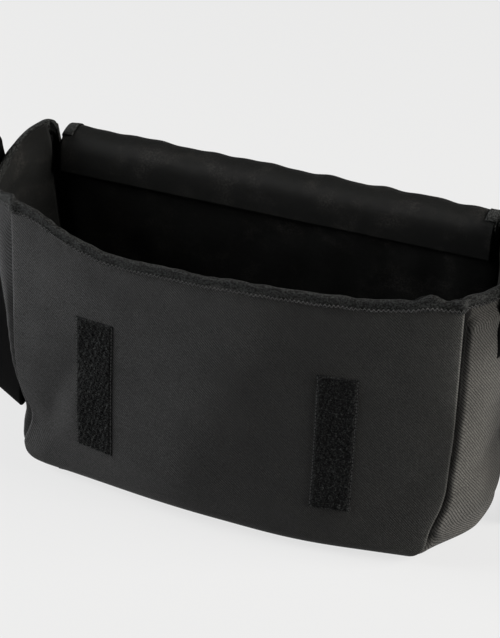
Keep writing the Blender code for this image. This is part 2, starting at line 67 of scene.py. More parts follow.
def way_out(azimuth, elevation):
    """Direction from the bag at an azimuth and elevation in degrees; azimuth 0 is its front."""
    a, e = math.radians(azimuth), math.radians(elevation)
    return Vector((math.sin(a) * math.cos(e), -math.cos(a) * math.cos(e), math.sin(e)))


def make_camera():
    right, roll = way_out(VIEW_AZIMUTH + 90.0, 0.0), math.radians(VIEW_ROLL)
    back = way_out(VIEW_AZIMUTH, VIEW_ELEVATION)
    up = back.cross(right)
    across = right * math.cos(roll) + up * math.sin(roll)
    upward = up * math.cos(roll) - right * math.sin(roll)
    camera = bpy.data.objects.new("camera", bpy.data.cameras.new("camera"))
    camera.data.lens = VIEW_LENS
    camera.data.sensor_width = 36.0
    turned = Matrix((across, upward, back)).transposed().to_4x4()
    camera.matrix_world = Matrix.Translation(VIEW_TARGET + back * VIEW_DISTANCE) @ turned
    bpy.context.scene.collection.objects.link(camera)
    bpy.context.scene.camera = camera


make_camera()

# ---- the body's form, as in the CAD ----
BODY_H = 0.254
BACK_TOP_Z = 0.2355
BACK_CORNER_SHARE = 0.9525
MOUTH_Z = 0.236
MOUTH_DIP = 0.008
MOUTH_HALF_W = 0.1745
HALF_W_FRONT = 0.176
HALF_W_BACK = 0.186
FOOT_TAPER_FRONT = 0.011
FOOT_TAPER_BACK = 0.014
FRONT_Y_FOOT = -0.064
FRONT_LEAN = 0.0715
FRONT_BULGE = 0.02
BACK_Y_FOOT = 0.066
BACK_Y_TOP = 0.055
SIDE_BULGE = 0.026
LEFT_HOLLOW = 0.0135
CORNER_R = 0.022
SEAM_LIFT = 0.003
LINING_IN = 0.0048
HEM_IN = 0.0022              # the lining comes this close to the shell at the bound edge

LOOP_W = 0.032
LOOP_H = 0.118
LOOP_CENTRES = (("left", -0.099), ("right", 0.0948))
LOOP_Z = 0.046
HOOK_H = 0.1

FLAP_HALF_W = 0.1745
HINGE_Y = 0.0565
HINGE_Z = 0.24
ROLL_Y = 0.08
FLAP_TOP_LEN = 0.126
FOLD_REST_DEG = 59.3
FLAP_CORNER_R = 0.03

WEB_HALF_W = 0.025
WEB_T = 0.0018
TAB_LOW = 0.18
TAB_TOP = 0.244
TAB_GAP = 0.003              # between the sides' seams and the cloth that the tabs lie on
BACK_RUN_Y = 0.316
BACK_RUN_Z = 0.031
RING_X = -0.06
RING_PITCH = 0.018
SLIDER_X = 0.068
SLIDER_BAR_R = 0.0016
LAYER_Y = 0.0082

CLOTH_T = 0.0009
LINING_T = 0.0006
TAPE_T = 0.0006
FOLD_R = 0.0018              # radius of a turned seam
SEAM_R = 0.0044              # the side panels dive this deep beside a seam
SEAM_GAP = 0.0038            # from the side panels' cloth to the front panel's face
BACK_GAP = 0.0022            # from their cloth to the back panel's face
SEAM_LIP = 0.006
# The right side panel runs this far in the dark ditch of its front seam, then turns out over a roll.
DITCH_FLOOR = 0.005
ROLL_R = 0.0032
ROLL_AT = (0.0038, 0.0062)
ROLL_TURN = math.radians(142)
BOTTOM_R = 0.012             # the front panel rolls under the bag with this radius


def smoothstep(t):
    t = np.clip(t, 0.0, 1.0)
    return t * t * (3.0 - 2.0 * t)


def rising(value, start, over):
    """0 up to start, then softly up to 1 over a stretch of this length."""
    return smoothstep((value - start) / over)


def falling(value, start, over):
    return 1.0 - rising(value, start, over)


def mix(a, b, t):
    return a + (b - a) * t


def xyz(x, y, z):
    """Points from three arrays of shapes that broadcast together."""
    return np.stack(np.broadcast_arrays(x, y, z), axis=-1).astype(float)


def arc_of(points):
    """Distance along a line of points, from 0 at its first."""
    steps = np.linalg.norm(np.diff(points, axis=0), axis=1)
    return np.concatenate([[0.0], np.cumsum(steps)])


def unit(ways):
    return ways / np.maximum(np.linalg.norm(ways, axis=1, keepdims=True), 1e-12)


def along_line(at, arc, line):
    """The values of line, known at the distances in arc, at other distances."""
    return np.stack([np.interp(at, arc, line[:, i]) for i in range(3)], axis=1)


def drawn(corners, step=0.0006):
    """Points a small step apart along the straight lines from corner to corner."""
    out = []
    for a, b in zip(corners, corners[1:]):
        t = np.linspace(0.0, 1.0, max(2, int(math.dist(a, b) / step)))[:-1]
        out.append(np.stack([mix(a[0], b[0], t), mix(a[1], b[1], t)], axis=1))
    return np.concatenate(out)


def quarter_drop(radius, into):
    """How far a surface has dropped this far into a rounded edge."""
    into = np.clip(into, 0.0, radius)
    return radius - np.sqrt(np.maximum(0.0, radius**2 - into**2))


def half_width(z, depth):
    front = HALF_W_FRONT - FOOT_TAPER_FRONT * falling(z, 0.0, 0.13)
    back = HALF_W_BACK - FOOT_TAPER_BACK * falling(z, 0.0, 0.2)
    return mix(front, back, depth)


def corner_width(z, depth, inset=0.0):
    above = z - SEAM_LIFT - inset
    radius = CORNER_R - inset
    side = half_width(z, depth) - inset
    low = side - radius + np.sqrt(np.maximum(0.0, radius**2 - (radius - above) ** 2))
    return np.where(above >= radius, side, low)


def front_y(x, z):
    crown = FRONT_BULGE * (0.65 + 0.35 * smoothstep(z / 0.05))
    return FRONT_Y_FOOT + FRONT_LEAN * z - crown * (1.0 - (x / 0.18) ** 2)


def back_y(x, z):
    t = z / BODY_H
    sag = 0.004 * (1.0 - (x / 0.19) ** 2) * 4.0 * t * (1.0 - t)
    return mix(BACK_Y_FOOT, BACK_Y_TOP, t) + sag


def mouth_z(depth, facing):
    """Height of the mouth's edge over a side panel, from the front seam (0) to the back one (1)."""
    rise = np.where(facing < 0, rising(depth, 0.42, 0.58), smoothstep(depth * 1.1 - 0.1))
    left, right = 0.0085 * falling(depth, 0.0, 0.18), 0.0052 * falling(depth, 0.0, 0.8)
    corner = np.where(facing < 0, left, right)
    peak = 0.0028 * rising(depth, 0.75, 0.25)
    return mix(MOUTH_Z, BODY_H - 0.002, rise) + corner + peak


def back_top(share):
    climb = rising(share, BACK_CORNER_SHARE, 0.013)
    return mix(BACK_TOP_Z, BODY_H - 0.0008, climb)


def bump(x, centre, width):
    return np.exp(-(((x - centre) / width) ** 2))


def front_top(x):
    """Height of the front's mouth edge. It kinks up, then down, beside the right seam."""
    kink = 0.0062 * bump(x, 0.152, 0.007) - 0.0024 * bump(x, 0.1632, 0.004)
    ends = 0.0052 * rising(x, 0.1, 0.07) + 0.0085 * rising(-x, 0.11, 0.065)
    kink = kink - 0.0055 * bump(x, -0.083, 0.03) + 0.0038 * bump(x, 0.05, 0.045)
    ripple = 0.0005 * np.sin(x * 71.0 + 0.6) + 0.0003 * np.sin(x * 157.0)
    return MOUTH_Z - MOUTH_DIP * (1.0 - (x / 0.17) ** 2) + kink + ends + ripple


def side_crown(z, facing):
    crown = SIDE_BULGE * (0.85 + 0.15 * smoothstep(z / 0.05)) * (1.0 + 0.1 * rising(z, 0.16, 0.09))
    return crown - np.where(facing < 0, LEFT_HOLLOW * falling(z, 0.09, 0.1), 0.0)


def settle(at):
    """The soft body sways to its right; its foot sinks back on the left and swells on the right."""
    x, y, z = at[..., 0], at[..., 1], at[..., 2]
    depth = (y + 0.06) / 0.12
    seam = falling(depth, 0.0, 0.5)
    drawn_in = 0.55 * falling(z, 0.025, 0.035)
    right = seam * (0.0056 * (1.0 - drawn_in) + 0.0024 * bump(z, 0.07, 0.022))
    swell = smoothstep(depth / 0.32) * (1.0 - 0.35 * rising(depth, 0.5, 0.5))
    low = 0.008 * falling(z, 0.035, 0.065) + 0.005 * falling(z, 0.0, 0.03)
    right = right + low * swell
    left = 0.0042 * rising(z, 0.008, 0.04) * seam
    pinch = 0.0062 * bump(z, 0.056, 0.02) - 0.003 * bump(z, 0.02, 0.016)
    left = left + pinch * falling(depth, 0.0, 0.9)
    sway = np.where(x > 0, right, left) * rising(np.abs(x), 0.11, 0.05)
    back = 0.0045 * falling(x, -0.13, 0.13) - 0.0045 * bump(x, 0.07, 0.065)
    back = back * falling(z, 0.0, 0.1)
    back = back + 0.0035 * falling(x, -0.178, 0.035) * falling(z, 0.0, 0.05)
    return at + np.stack([sway, back * falling(depth, 0.0, 0.7), 0 * z], axis=-1)


def settle_mesh(made, share=None):
    """Moves a piece's vertices with the sway, by a share given for each vertex."""
    count = len(made.data.vertices)
    flat = np.empty(count * 3, dtype=np.float32)
    made.data.vertices.foreach_get("co", flat)
    at = flat.reshape(-1, 3).astype(float)
    moved = settle(at)
    if share is not None:
        moved = at + (moved - at) * share(at)[:, None]
    made.data.vertices.foreach_set("co", moved.astype(np.float32).ravel())
    made.data.update()


# Soft folds of the front panel: centre x and z, direction in degrees, length, width, relief.
FRONT_FOLDS = (
    (-0.135, 0.085, 62, 0.06, 0.011, -0.0016),
    (-0.118, 0.07, 58, 0.05, 0.012, 0.001),
    (-0.15, 0.14, 80, 0.06, 0.01, 0.0009),
    (-0.06, 0.045, 20, 0.05, 0.016, 0.001),
    (-0.004, 0.12, 66, 0.13, 0.046, 0.0064),
    (0.03, 0.07, 75, 0.07, 0.024, -0.0018),
    (0.05, 0.18, 10, 0.07, 0.016, 0.0008),
    (-0.04, 0.19, -12, 0.06, 0.014, -0.0006),
    (0.148, 0.12, 86, 0.07, 0.012, 0.0012),
    (0.13, 0.05, 60, 0.04, 0.014, -0.001),
    (-0.165, 0.05, 100, 0.022, 0.008, -0.0014),
)


def folds(x, z, table):
    total = np.zeros_like(x + z)
    for cx, cz, degrees, length, width, height in table:
        c, s = math.cos(math.radians(degrees)), math.sin(math.radians(degrees))
        along = (x - cx) * c + (z - cz) * s
        across = (z - cz) * c - (x - cx) * s
        total = total + height * np.exp(-((along / length) ** 2) - (across / width) ** 2)
    return total


def ripples(a, b, scale, seed):
    """A smooth wandering height of about -1 to 1, from a few crossed waves."""
    rng = random.Random(seed)
    total = np.zeros_like(a + b)
    for _ in range(7):
        angle, wave = rng.uniform(0, math.pi), scale * rng.uniform(0.6, 1.7)
        phase = rng.uniform(0, 2 * math.pi)
        total = total + np.sin(2 * math.pi * (a * math.cos(angle) + b * math.sin(angle)) / wave + phase)
    return total / 3.5


def front_out(x, z):
    """How far the front panel's cloth stands out of its plain form."""
    near_side = np.exp(-(half_width(z, 0.0) - np.abs(x)) / 0.007)
    pucker = 0.0003 * np.sin(z * 430.0 + 3.0 * np.sin(z * 61.0)) * near_side
    near_top = np.exp(-(front_top(x) - z) / 0.01)
    gather = 0.00035 * np.sin(x * 360.0 + 4.0 * np.sin(x * 47.0)) * near_top
    peak = 0.0022 * bump(x, 0.15, 0.01) * np.exp(-(front_top(x) - z) / 0.022)
    return folds(x, z, FRONT_FOLDS) + 0.0005 * ripples(x, z, 0.11, 3) + pucker + gather + peak


def front_surface(x, z):
    """Y of the front panel's outer face, rolled under along its foot."""
    roll = quarter_drop(BOTTOM_R, BOTTOM_R - (z - SEAM_LIFT))
    return front_y(x, z) - front_out(x, z) * rising(z, 0.002, 0.02) + roll


# ---- mesh helpers ----
def link(made):
    bpy.context.scene.collection.objects.link(made)
    return made


def mesh_object(name, verts, faces, uv, finish):
    mesh = bpy.data.meshes.new(name)
    mesh.from_pydata(verts.tolist(), [], faces)
    if uv is not None:
        layer = mesh.uv_layers.new(name="UVMap")
        loops = np.empty(len(mesh.loops), dtype=np.int32)
        mesh.loops.foreach_get("vertex_index", loops)
        layer.data.foreach_set("uv", np.asarray(uv, np.float32)[loops].ravel())
    mesh.validate()
    mesh.shade_smooth()
    mesh.materials.append(finish)
    return link(bpy.data.objects.new(name, mesh))


def grid_faces(rows, columns, close_columns=False, base=0):
    last = columns if close_columns else columns - 1
    i = np.arange(rows - 1)[:, None] * columns
    j = np.arange(last)[None, :]
    k = (j + 1) % columns
    quads = np.stack([i + j, i + k, i + columns + k, i + columns + j], axis=-1)
    return (quads.reshape(-1, 4) + base).tolist()


def grid_object(name, points, finish, thickness=0.0, uv=None, flip=False, offset=-1.0):
    """points is rows x columns x 3. The face's front is on the side of its normal."""
    rows, columns = points.shape[:2]
    uv = arc_uv(points) if uv is None else uv
    faces = grid_faces(rows, columns)
    if flip:
        faces = [f[::-1] for f in faces]
    made = mesh_object(name, points.reshape(-1, 3), faces, uv.reshape(-1, 2), finish)
    if thickness:
        solid = made.modifiers.new("thickness", "SOLIDIFY")
        solid.thickness = thickness
        solid.offset = offset
    return made


def arc_uv(points):
    """UV in metres: distance along the cloth from its middle column, and from its first row."""
    across = np.linalg.norm(np.diff(points, axis=1), axis=2)
    along = np.linalg.norm(np.diff(points, axis=0), axis=2)
    u = np.pad(np.cumsum(across, axis=1), ((0, 0), (1, 0)))
    v = np.pad(np.cumsum(along, axis=0), ((1, 0), (0, 0)))
    u = u - u[:, u.shape[1] // 2][:, None]
    return np.stack([u, v], axis=-1)


def stitches(name, line, normals, finish, length=0.0028, gap=0.0009, radius=0.00032, lift=0.00012):
    """A row of sewn stitches along a line of points, each a short thread that dives into the cloth."""
    arc = arc_of(line)
    count = max(1, int(arc[-1] / (length + gap)))
    pitch = arc[-1] / count
    sides, rings = 6, 7
    share = np.linspace(-1.0, 1.0, rings)[:, None]
    round_ = np.arange(sides)[None, :] * 2 * math.pi / sides
    fat = radius * np.sqrt(np.clip(1.0 - 0.75 * share**8, 0.05, 1.0))
    raised = lift + radius * 0.2 - radius * 1.9 * share**6 + fat * np.sin(round_)
    aside = fat * 1.15 * np.cos(round_)
    verts, faces = [], []
    for k in range(count):
        t = k * pitch + np.linspace(0.0, length, rings)
        at, up = along_line(t, arc, line), unit(along_line(t, arc, normals))
        side = np.cross(unit(at[-1:] - at[:1]), up)
        ring = at[:, None] + up[:, None] * raised[..., None] + side[:, None] * aside[..., None]
        verts.append(ring.reshape(-1, 3))
        base = k * rings * sides
        faces += grid_faces(rings, sides, True, base)
        faces.append([base + s for s in range(sides)][::-1])
        faces.append([base + (rings - 1) * sides + s for s in range(sides)])
    return mesh_object(name, np.concatenate(verts), faces, None, finish)


# ---- materials ----
def new_material(name, roughness, sheen=0.0, specular=0.5):
    made = bpy.data.materials.new(name)
    made.use_nodes = True
    shader = made.node_tree.nodes["Principled BSDF"]
    shader.inputs["Roughness"].default_value = roughness
    shader.inputs["Sheen Weight"].default_value = sheen
    shader.inputs["Sheen Roughness"].default_value = 0.45
    shader.inputs["Specular IOR Level"].default_value = specular
    return made, shader


def grey(level, tint=(1.0, 1.0, 1.0)):
    return (level * tint[0], level * tint[1], level * tint[2], 1.0)


class Surface:
    """A material in the making: its nodes, and a point's place on the object and on the cloth in metres."""

    def __init__(self, name, roughness, sheen=0.0, specular=0.5):
        self.made, self.shader = new_material(name, roughness, sheen, specular)
        self.tree = self.made.node_tree
        place = self.add("ShaderNodeTexCoord").outputs
        self.where = place["Object"]
        self.u, self.v = self.add("ShaderNodeSeparateXYZ", {0: place["UV"]}).outputs[:2]

    def add(self, kind, inputs=None, **settings):
        node = self.tree.nodes.new(kind)
        for key, value in settings.items():
            setattr(node, key, value)
        for key, value in (inputs or {}).items():
            if isinstance(value, bpy.types.NodeSocket):
                self.tree.links.new(value, node.inputs[key])
            else:
                node.inputs[key].default_value = value
        return node

    def calc(self, operation, *values):
        return self.add("ShaderNodeMath", dict(enumerate(values)), operation=operation).outputs[0]

    def times(self, a, b):
        return self.calc("MULTIPLY", a, b)

    def scaled(self, value, factor, plus):
        return self.calc("MULTIPLY_ADD", value, factor, plus)

    def mixed(self, factor, a, b, mode="MIX"):
        colours = {0: factor, 6: a, 7: b}
        return self.add("ShaderNodeMix", colours, data_type="RGBA", blend_type=mode).outputs[2]

    def tinted(self, colour, by):
        return self.mixed(1.0, colour, by, "MULTIPLY")

    def ramp(self, value, low, high, to_low=0.0, to_high=1.0):
        """value from low..high stretched to to_low..to_high."""
        ends = {"From Min": low, "From Max": high, "To Min": to_low, "To Max": to_high}
        return self.add("ShaderNodeMapRange", {"Value": value, **ends}).outputs[0]

    def noise(self, scale, detail=3.0, roughness=0.55):
        look = {"Vector": self.where, "Scale": scale, "Detail": detail, "Roughness": roughness}
        return self.add("ShaderNodeTexNoise", look).outputs[0]

    def yarns(self, along, pitch):
        """A place on the cloth, counted in yarns."""
        return self.calc("DIVIDE", along, pitch)

    def crown(self, position):
        """1 in the middle of a yarn and 0 at its edges, for a position counted in yarns."""
        off = self.scaled(self.calc("FRACT", position), 2.0, -1.0)
        return self.calc("SUBTRACT", 1.0, self.times(off, off))

    def steps(self, a, b, count):
        """A count that steps on with each yarn, either way, and starts again after count."""
        total = self.calc("ADD", self.calc("FLOOR", a), self.calc("FLOOR", b))
        return self.calc("FLOORED_MODULO", total, count)

    def either(self, over, a, b):
        """a where over is 1, and b where it is 0."""
        under = self.times(b, self.calc("SUBTRACT", 1.0, over))
        return self.calc("ADD", self.times(a, over), under)

    def finish(self, colour, height, rough, strength, depth):
        relief = self.add("ShaderNodeBump", {"Height": height, "Strength": strength, "Distance": depth})
        ends = {"Base Color": colour, "Roughness": rough, "Normal": relief.outputs[0]}
        for socket, value in ends.items():
            self.tree.links.new(value, self.shader.inputs[socket])
        return self.made


def twill(name, light, dark, painted_end_light, sheen, lean=1.0, steep=1.0, relief=0.8, pitch=0.0008):
    """Twill cloth: each yarn passes over two and under one, stepping sideways row by row."""
    m = Surface(name, 0.7, sheen, 0.1)
    a, b = m.yarns(m.u, pitch), m.times(m.v, lean / (pitch * steep))
    over = m.calc("GREATER_THAN", m.steps(a, b, 3.0), 0.5)
    height = m.either(over, m.crown(a), m.times(m.crown(b), 0.62))
    shade = m.times(height, m.scaled(over, 0.8, 0.2))
    patchy = m.ramp(m.noise(34.0, 4.0), 0.3, 0.7, 0.86, 1.12)
    slub = m.ramp(m.noise(900.0, 2.0), 0.34, 0.66, 0.62, 1.38)
    colour = m.tinted(m.mixed(shade, grey(dark), grey(light)), m.times(patchy, slub))
    # painted light and shade kept per vertex: lighter on a lit seam edge, darker in the seam ditch and the
    # hollows
    wear_and_painted_light = m.add("ShaderNodeAttribute", attribute_name="painted_light_and_shade").outputs["Fac"]
    colour = m.tinted(colour, m.scaled(wear_and_painted_light, 2.6, 1.0))
    across = m.add("ShaderNodeSeparateXYZ", {0: m.where}).outputs[0]
    left, right = (grey(*tone) for tone in painted_end_light)     # painted light: one end of the bag brighter than the other, warmer on the right
    colour = m.tinted(colour, m.mixed(m.ramp(across, -0.12, 0.14), left, right))
    return m.finish(colour, height, m.ramp(height, 0.0, 1.0, 0.82, 0.58), relief, 0.00028)


def plain_cloth(name, light, dark, tint, mottle, pitch=0.00032):
    """Fine plain weave, with soft crinkles and faint paler patches."""
    m = Surface(name, 0.7, 0.0, 0.05)
    a, b = m.yarns(m.u, pitch), m.yarns(m.v, pitch)
    weave = m.either(m.steps(a, b, 2.0), m.crown(a), m.crown(b))
    crinkle = m.noise(210.0, 6.0, 0.6)
    cloud = m.ramp(m.noise(46.0, 3.0), 0.5, 0.66, 0.0, mottle)
    fleck = m.ramp(m.noise(700.0, 4.0), 0.44, 0.6)
    colour = m.mixed(weave, grey(dark, tint), grey(light, tint))
    colour = m.mixed(m.times(cloud, fleck), colour, grey(light * 2.4, (1.05, 1.0, 0.93)))
    rough = m.ramp(crinkle, 0.3, 0.7, 0.5, 0.7)
    return m.finish(colour, m.scaled(crinkle, 3.0, weave), rough, 0.45, 0.0003)


def tape(name, light, dark, tint, pitch=0.0009, rows=0.0011):
    """Ribbed tape: fine ribs across its width, broken by the yarns that run along it."""
    m = Surface(name, 0.8, 0.02, 0.1)
    rank = m.yarns(m.u, rows)
    half_step = m.times(m.calc("FLOORED_MODULO", m.calc("FLOOR", rank), 2.0), 0.5)
    across = m.crown(m.calc("ADD", m.yarns(m.v, pitch), half_step))
    height = m.times(across, m.scaled(m.crown(rank), 0.7, 0.3))
    speck = m.ramp(m.noise(760.0, 2.0), 0.45, 0.56, 0.02, 3.0)
    colour = m.tinted(m.mixed(height, grey(dark, tint), grey(light, tint)), speck)
    return m.finish(colour, height, m.ramp(height, 0.0, 1.0, 0.85, 0.62), 0.9, 0.0003)


def webbing_cloth(name, light, dark):
    """Heavy webbing: chevron ribs along its length with ranks of short floats."""
    m = Surface(name, 0.6, 0.0, 0.015)
    zigzag = m.calc("PINGPONG", m.u, 0.00625)
    ranks = m.yarns(m.scaled(zigzag, 0.8, m.v), 0.0016)
    cord = m.crown(m.yarns(m.u, 0.00125))
    height = m.times(cord, m.scaled(m.crown(ranks), 0.6, 0.4))
    wear_and_painted_light = m.ramp(m.noise(55.0, 4.0), 0.35, 0.7, 0.85, 1.2)
    colour = m.tinted(m.mixed(height, grey(dark), grey(light, (1.0, 1.0, 1.04))), wear_and_painted_light)
    return m.finish(colour, height, m.ramp(height, 0.0, 1.0, 0.75, 0.5), 0.9, 0.0004)


def pile_cloth(name, light, dark, cool=(1.0, 1.02, 1.08)):
    """Touch fastener: matted loops, with bright specks where a loop catches the light."""
    m = Surface(name, 0.9, 0.02, 0.06)
    tufts = m.add("ShaderNodeTexVoronoi", {"Vector": m.where, "Scale": 1150.0}).outputs[0]
    matted = m.noise(480.0, 5.0, 0.7)
    height = m.calc("SUBTRACT", matted, m.times(tufts, 0.8))
    speck = m.ramp(m.noise(700.0, 2.0, 0.7), 0.5, 0.66)
    colour = m.mixed(m.ramp(matted, 0.35, 0.65), grey(dark, cool), grey(light, cool))
    colour = m.mixed(speck, colour, grey(light * 5.0, (0.97, 1.03, 1.0)))
    return m.finish(colour, height, m.ramp(matted, 0.3, 0.7, 0.7, 0.95), 1.0, 0.0009)


def moulded_plastic(name, level):
    m = Surface(name, 0.4)
    grain = m.noise(2400.0, 3.0)
    scuff = m.ramp(m.noise(160.0, 6.0, 0.7), 0.55, 0.75, 0.0, 0.6)
    colour = m.mixed(scuff, grey(level), grey(level * 2.4))
    rough = m.calc("ADD", m.ramp(grain, 0.3, 0.7, 0.32, 0.44), m.times(scuff, 0.2))
    return m.finish(colour, grain, rough, 0.25, 0.00015)


def fibrous(name, dark, light, scale, detail, smooth, strength, depth):
    """Twisted thread or pressed board: one fine grain for its colour, gloss and height."""
    m = Surface(name, 0.5)
    grain = m.noise(scale, detail)
    colour = m.mixed(grain, grey(dark), grey(light))
    return m.finish(colour, grain, m.ramp(grain, 0.3, 0.7, smooth, 0.6), strength, depth)


def thread_cloth(name, level):
    return fibrous(name, level * 0.6, level * 1.3, 2600.0, 2.0, 0.4, 0.4, 0.0001)


# Painted light: the front is made lighter on the bag's left and darker on its right, and the side panels
# darker on the left and lighter and warmer on the right, as the lamps fall.
SHELL_PAINTED_LIGHT = ((1.35, (1.0, 1.0, 1.01)), (0.86, (1.0, 1.0, 0.94)))
SIDE_PAINTED_LIGHT = ((0.36, (1.0, 1.0, 1.03)), (1.0, (1.0, 0.965, 0.89)))
SHELL = twill("shell twill", 0.033, 0.002, SHELL_PAINTED_LIGHT, 0.01)
# painted light: the side panels are the same black twill as the front, given a far lighter colour for the
# light of the right lamp
SIDE = twill("side twill", 0.093, 0.0004, SIDE_PAINTED_LIGHT, 0.03, lean=-1.0, steep=1.3, relief=1.0)
LINING = plain_cloth("lining cloth", 0.0085, 0.0028, (0.97, 1.0, 0.97), 0.7)
TAPE = tape("binding tape", 0.0125, 0.001, (0.94, 1.0, 0.97))
WEB = webbing_cloth("webbing", 0.0012, 0.0004)
PILE = pile_cloth("loop pile", 0.0055, 0.0012)
HOOKS = pile_cloth("hook tape", 0.006, 0.0015)
THREAD = thread_cloth("black thread", 0.013)
PALE_THREAD = thread_cloth("binding thread", 0.026)
PLASTIC = moulded_plastic("moulded plastic", 0.012)
BOARD = fibrous("stiff board", 0.048, 0.072, 700.0, 4.0, 0.45, 0.3, 0.0002)


def piece(made, body, stands_for=()):
    if body == "bag":
        settle_mesh(made)
    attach(made, body)
    if stands_for:
        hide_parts(*stands_for)
    return made


# ---- front panel ----
def with_turned_edges(face, first_side, inward):
    """A panel's grid with the cloth of both side edges turned under, into the seams."""
    angle = np.radians(np.linspace(0.0, 150.0, 9))[1:]
    out_x, in_y = np.sin(angle) * FOLD_R, (1.0 - np.cos(angle)) * FOLD_R
    parts = [face]
    for column, side in ((0, first_side), (-1, -first_side)):
        offsets = xyz(side * out_x, inward * in_y, 0.0)
        turned = face[:, column][:, None, :] + offsets[None]
        parts = [turned[:, ::-1]] + parts if column == 0 else parts + [turned]
    return np.concatenate(parts, axis=1)


def shares(columns, rows):
    """Share of a panel's half width for each column, and of its height for each row."""
    return np.linspace(-1.0, 1.0, columns)[None, :], np.linspace(0.0, 1.0, rows)[:, None]


def paint_light_and_shade(made, amount):
    """Painted light where amount is above 0, and painted shade where it is below, kept per vertex for the
    cloth's colour.
    """
    layer = made.data.attributes.new("painted_light_and_shade", "FLOAT", "POINT")
    layer.data.foreach_set("value", np.asarray(amount, np.float32).ravel())


def build_front_panel():
    u, v = shares(300, 230)
    top = front_top(u * half_width(0.12, 0.0)) - 0.0012
    z = mix(SEAM_LIFT, top, v**1.15)
    side = corner_width(z, 0.0) - FOLD_R
    x = u * side
    y = front_surface(x, z)
    points = with_turned_edges(xyz(x, y, z), -1.0, 1.0)
    made = grid_object("front_shell", points, SHELL, CLOTH_T)
    high = points[..., 2]
    reach = np.maximum(half_width(high, 0.0) - np.abs(points[..., 0]), 0.0)
    # painted highlight along both turned side edges, strongest high up and on the right where the edge
    # catches the right lamp, weaker on the left
    seam = 0.55 * np.exp(-reach / 0.006) + 0.4 * np.exp(-reach / 0.0012)
    strength = 0.15 + 0.85 * rising(high, 0.125, 0.04)
    strength = strength + 0.55 * falling(high, 0.045, 0.06)
    # painted shade over a broad diagonal band in the middle of the front, where soft dents fall in shadow
    wide, rise = points[..., 0], -0.045 + 0.42 * (high - 0.03)
    hollow_shade = smoothstep((wide - rise) / 0.03) * falling(wide, 0.08, 0.05)
    # painted light: a lit patch high on the left, and the right end made lighter
    pale = 0.1 * bump(wide, -0.134, 0.03) * bump(high, 0.18, 0.035)
    pale = pale + 0.05 * rising(wide, 0.11, 0.03)
    paint_light_and_shade(made, seam * strength * np.where(wide > 0, 1.0, 0.4) - 0.1 * hollow_shade + pale)
    return piece(made, "bag", ["front_panel"])


build_front_panel()


# ---- gusset: both sides and the bottom in one strip ----
def outline(u, depth, inset, below):
    """x, z, outward x, outward z and share of side crown along the side-bottom-side strip."""
    share, facing = np.abs(u), np.where(u > 0, -1.0, 1.0)
    radius, low = CORNER_R - inset, inset
    z_side = mix(low + radius, mouth_z(depth, facing) - below, np.clip((share - 0.46) / 0.54, 0.0, 1.0))
    corner_x = half_width(low + radius, depth) - inset - radius
    turn = np.clip((share - 0.3) / 0.16, 0.0, 1.0) * math.pi / 2.0
    on_side, on_turn = share > 0.46, share > 0.3
    x = np.where(on_turn, corner_x + radius * np.sin(turn), corner_x * share / 0.3)
    x = np.where(on_side, half_width(z_side, depth) - inset, x)
    z = np.where(on_side, z_side, np.where(on_turn, low + radius * (1.0 - np.cos(turn)), low))
    out_x = np.where(on_side, 1.0, np.sin(turn))
    out_z = np.where(on_side, 0.0, -np.cos(turn))
    return facing * x, z, facing * out_x, out_z, np.where(on_side, 1.0, np.sin(turn) ** 2)


STRIP_DEPTH = 0.12           # about the distance from seam to seam across a side panel
# Soft folds of the side panels: how high and how far back, direction in degrees, length, width, relief.
SIDE_FOLDS = (
    (0.085, 0.042, 84, 0.08, 0.012, -0.0014),
    (0.15, 0.072, 96, 0.06, 0.0144, 0.0016),
    (0.205, 0.036, 70, 0.03, 0.0084, -0.0012),
    (0.04, 0.084, 60, 0.035, 0.012, 0.0012),
)


def foot_roll(z):
    return quarter_drop(BOTTOM_R, BOTTOM_R - (z - SEAM_LIFT))


def seam_roll(run, depth, crown):
    """Outward and rearward place of the side panel behind its front seam, for a run along the cloth."""
    turn = np.clip((run - DITCH_FLOOR) / ROLL_R, 0.0, ROLL_TURN)
    inside = np.clip(1.0 - run / DITCH_FLOOR, 0.0, 1.0)
    out = ROLL_AT[0] - ROLL_R * np.cos(turn) - 0.005 * inside
    back = ROLL_AT[1] - ROLL_R * np.sin(turn) + 0.0006 * inside
    spent = DITCH_FLOOR + ROLL_R * ROLL_TURN
    end_out = ROLL_AT[0] - ROLL_R * math.cos(ROLL_TURN)
    end_back = ROLL_AT[1] - ROLL_R * math.sin(ROLL_TURN)
    side_back = end_back + (run - spent) * (depth - end_back) / (depth - spent)
    share, first = side_back / depth, end_back / depth
    extra = end_out - crown * 4.0 * first * (1.0 - first)
    side_out = crown * 4.0 * share * (1.0 - share) + extra * falling(share, first, 0.35)
    past = run > spent
    return np.where(past, side_out, out), np.where(past, side_back, back)


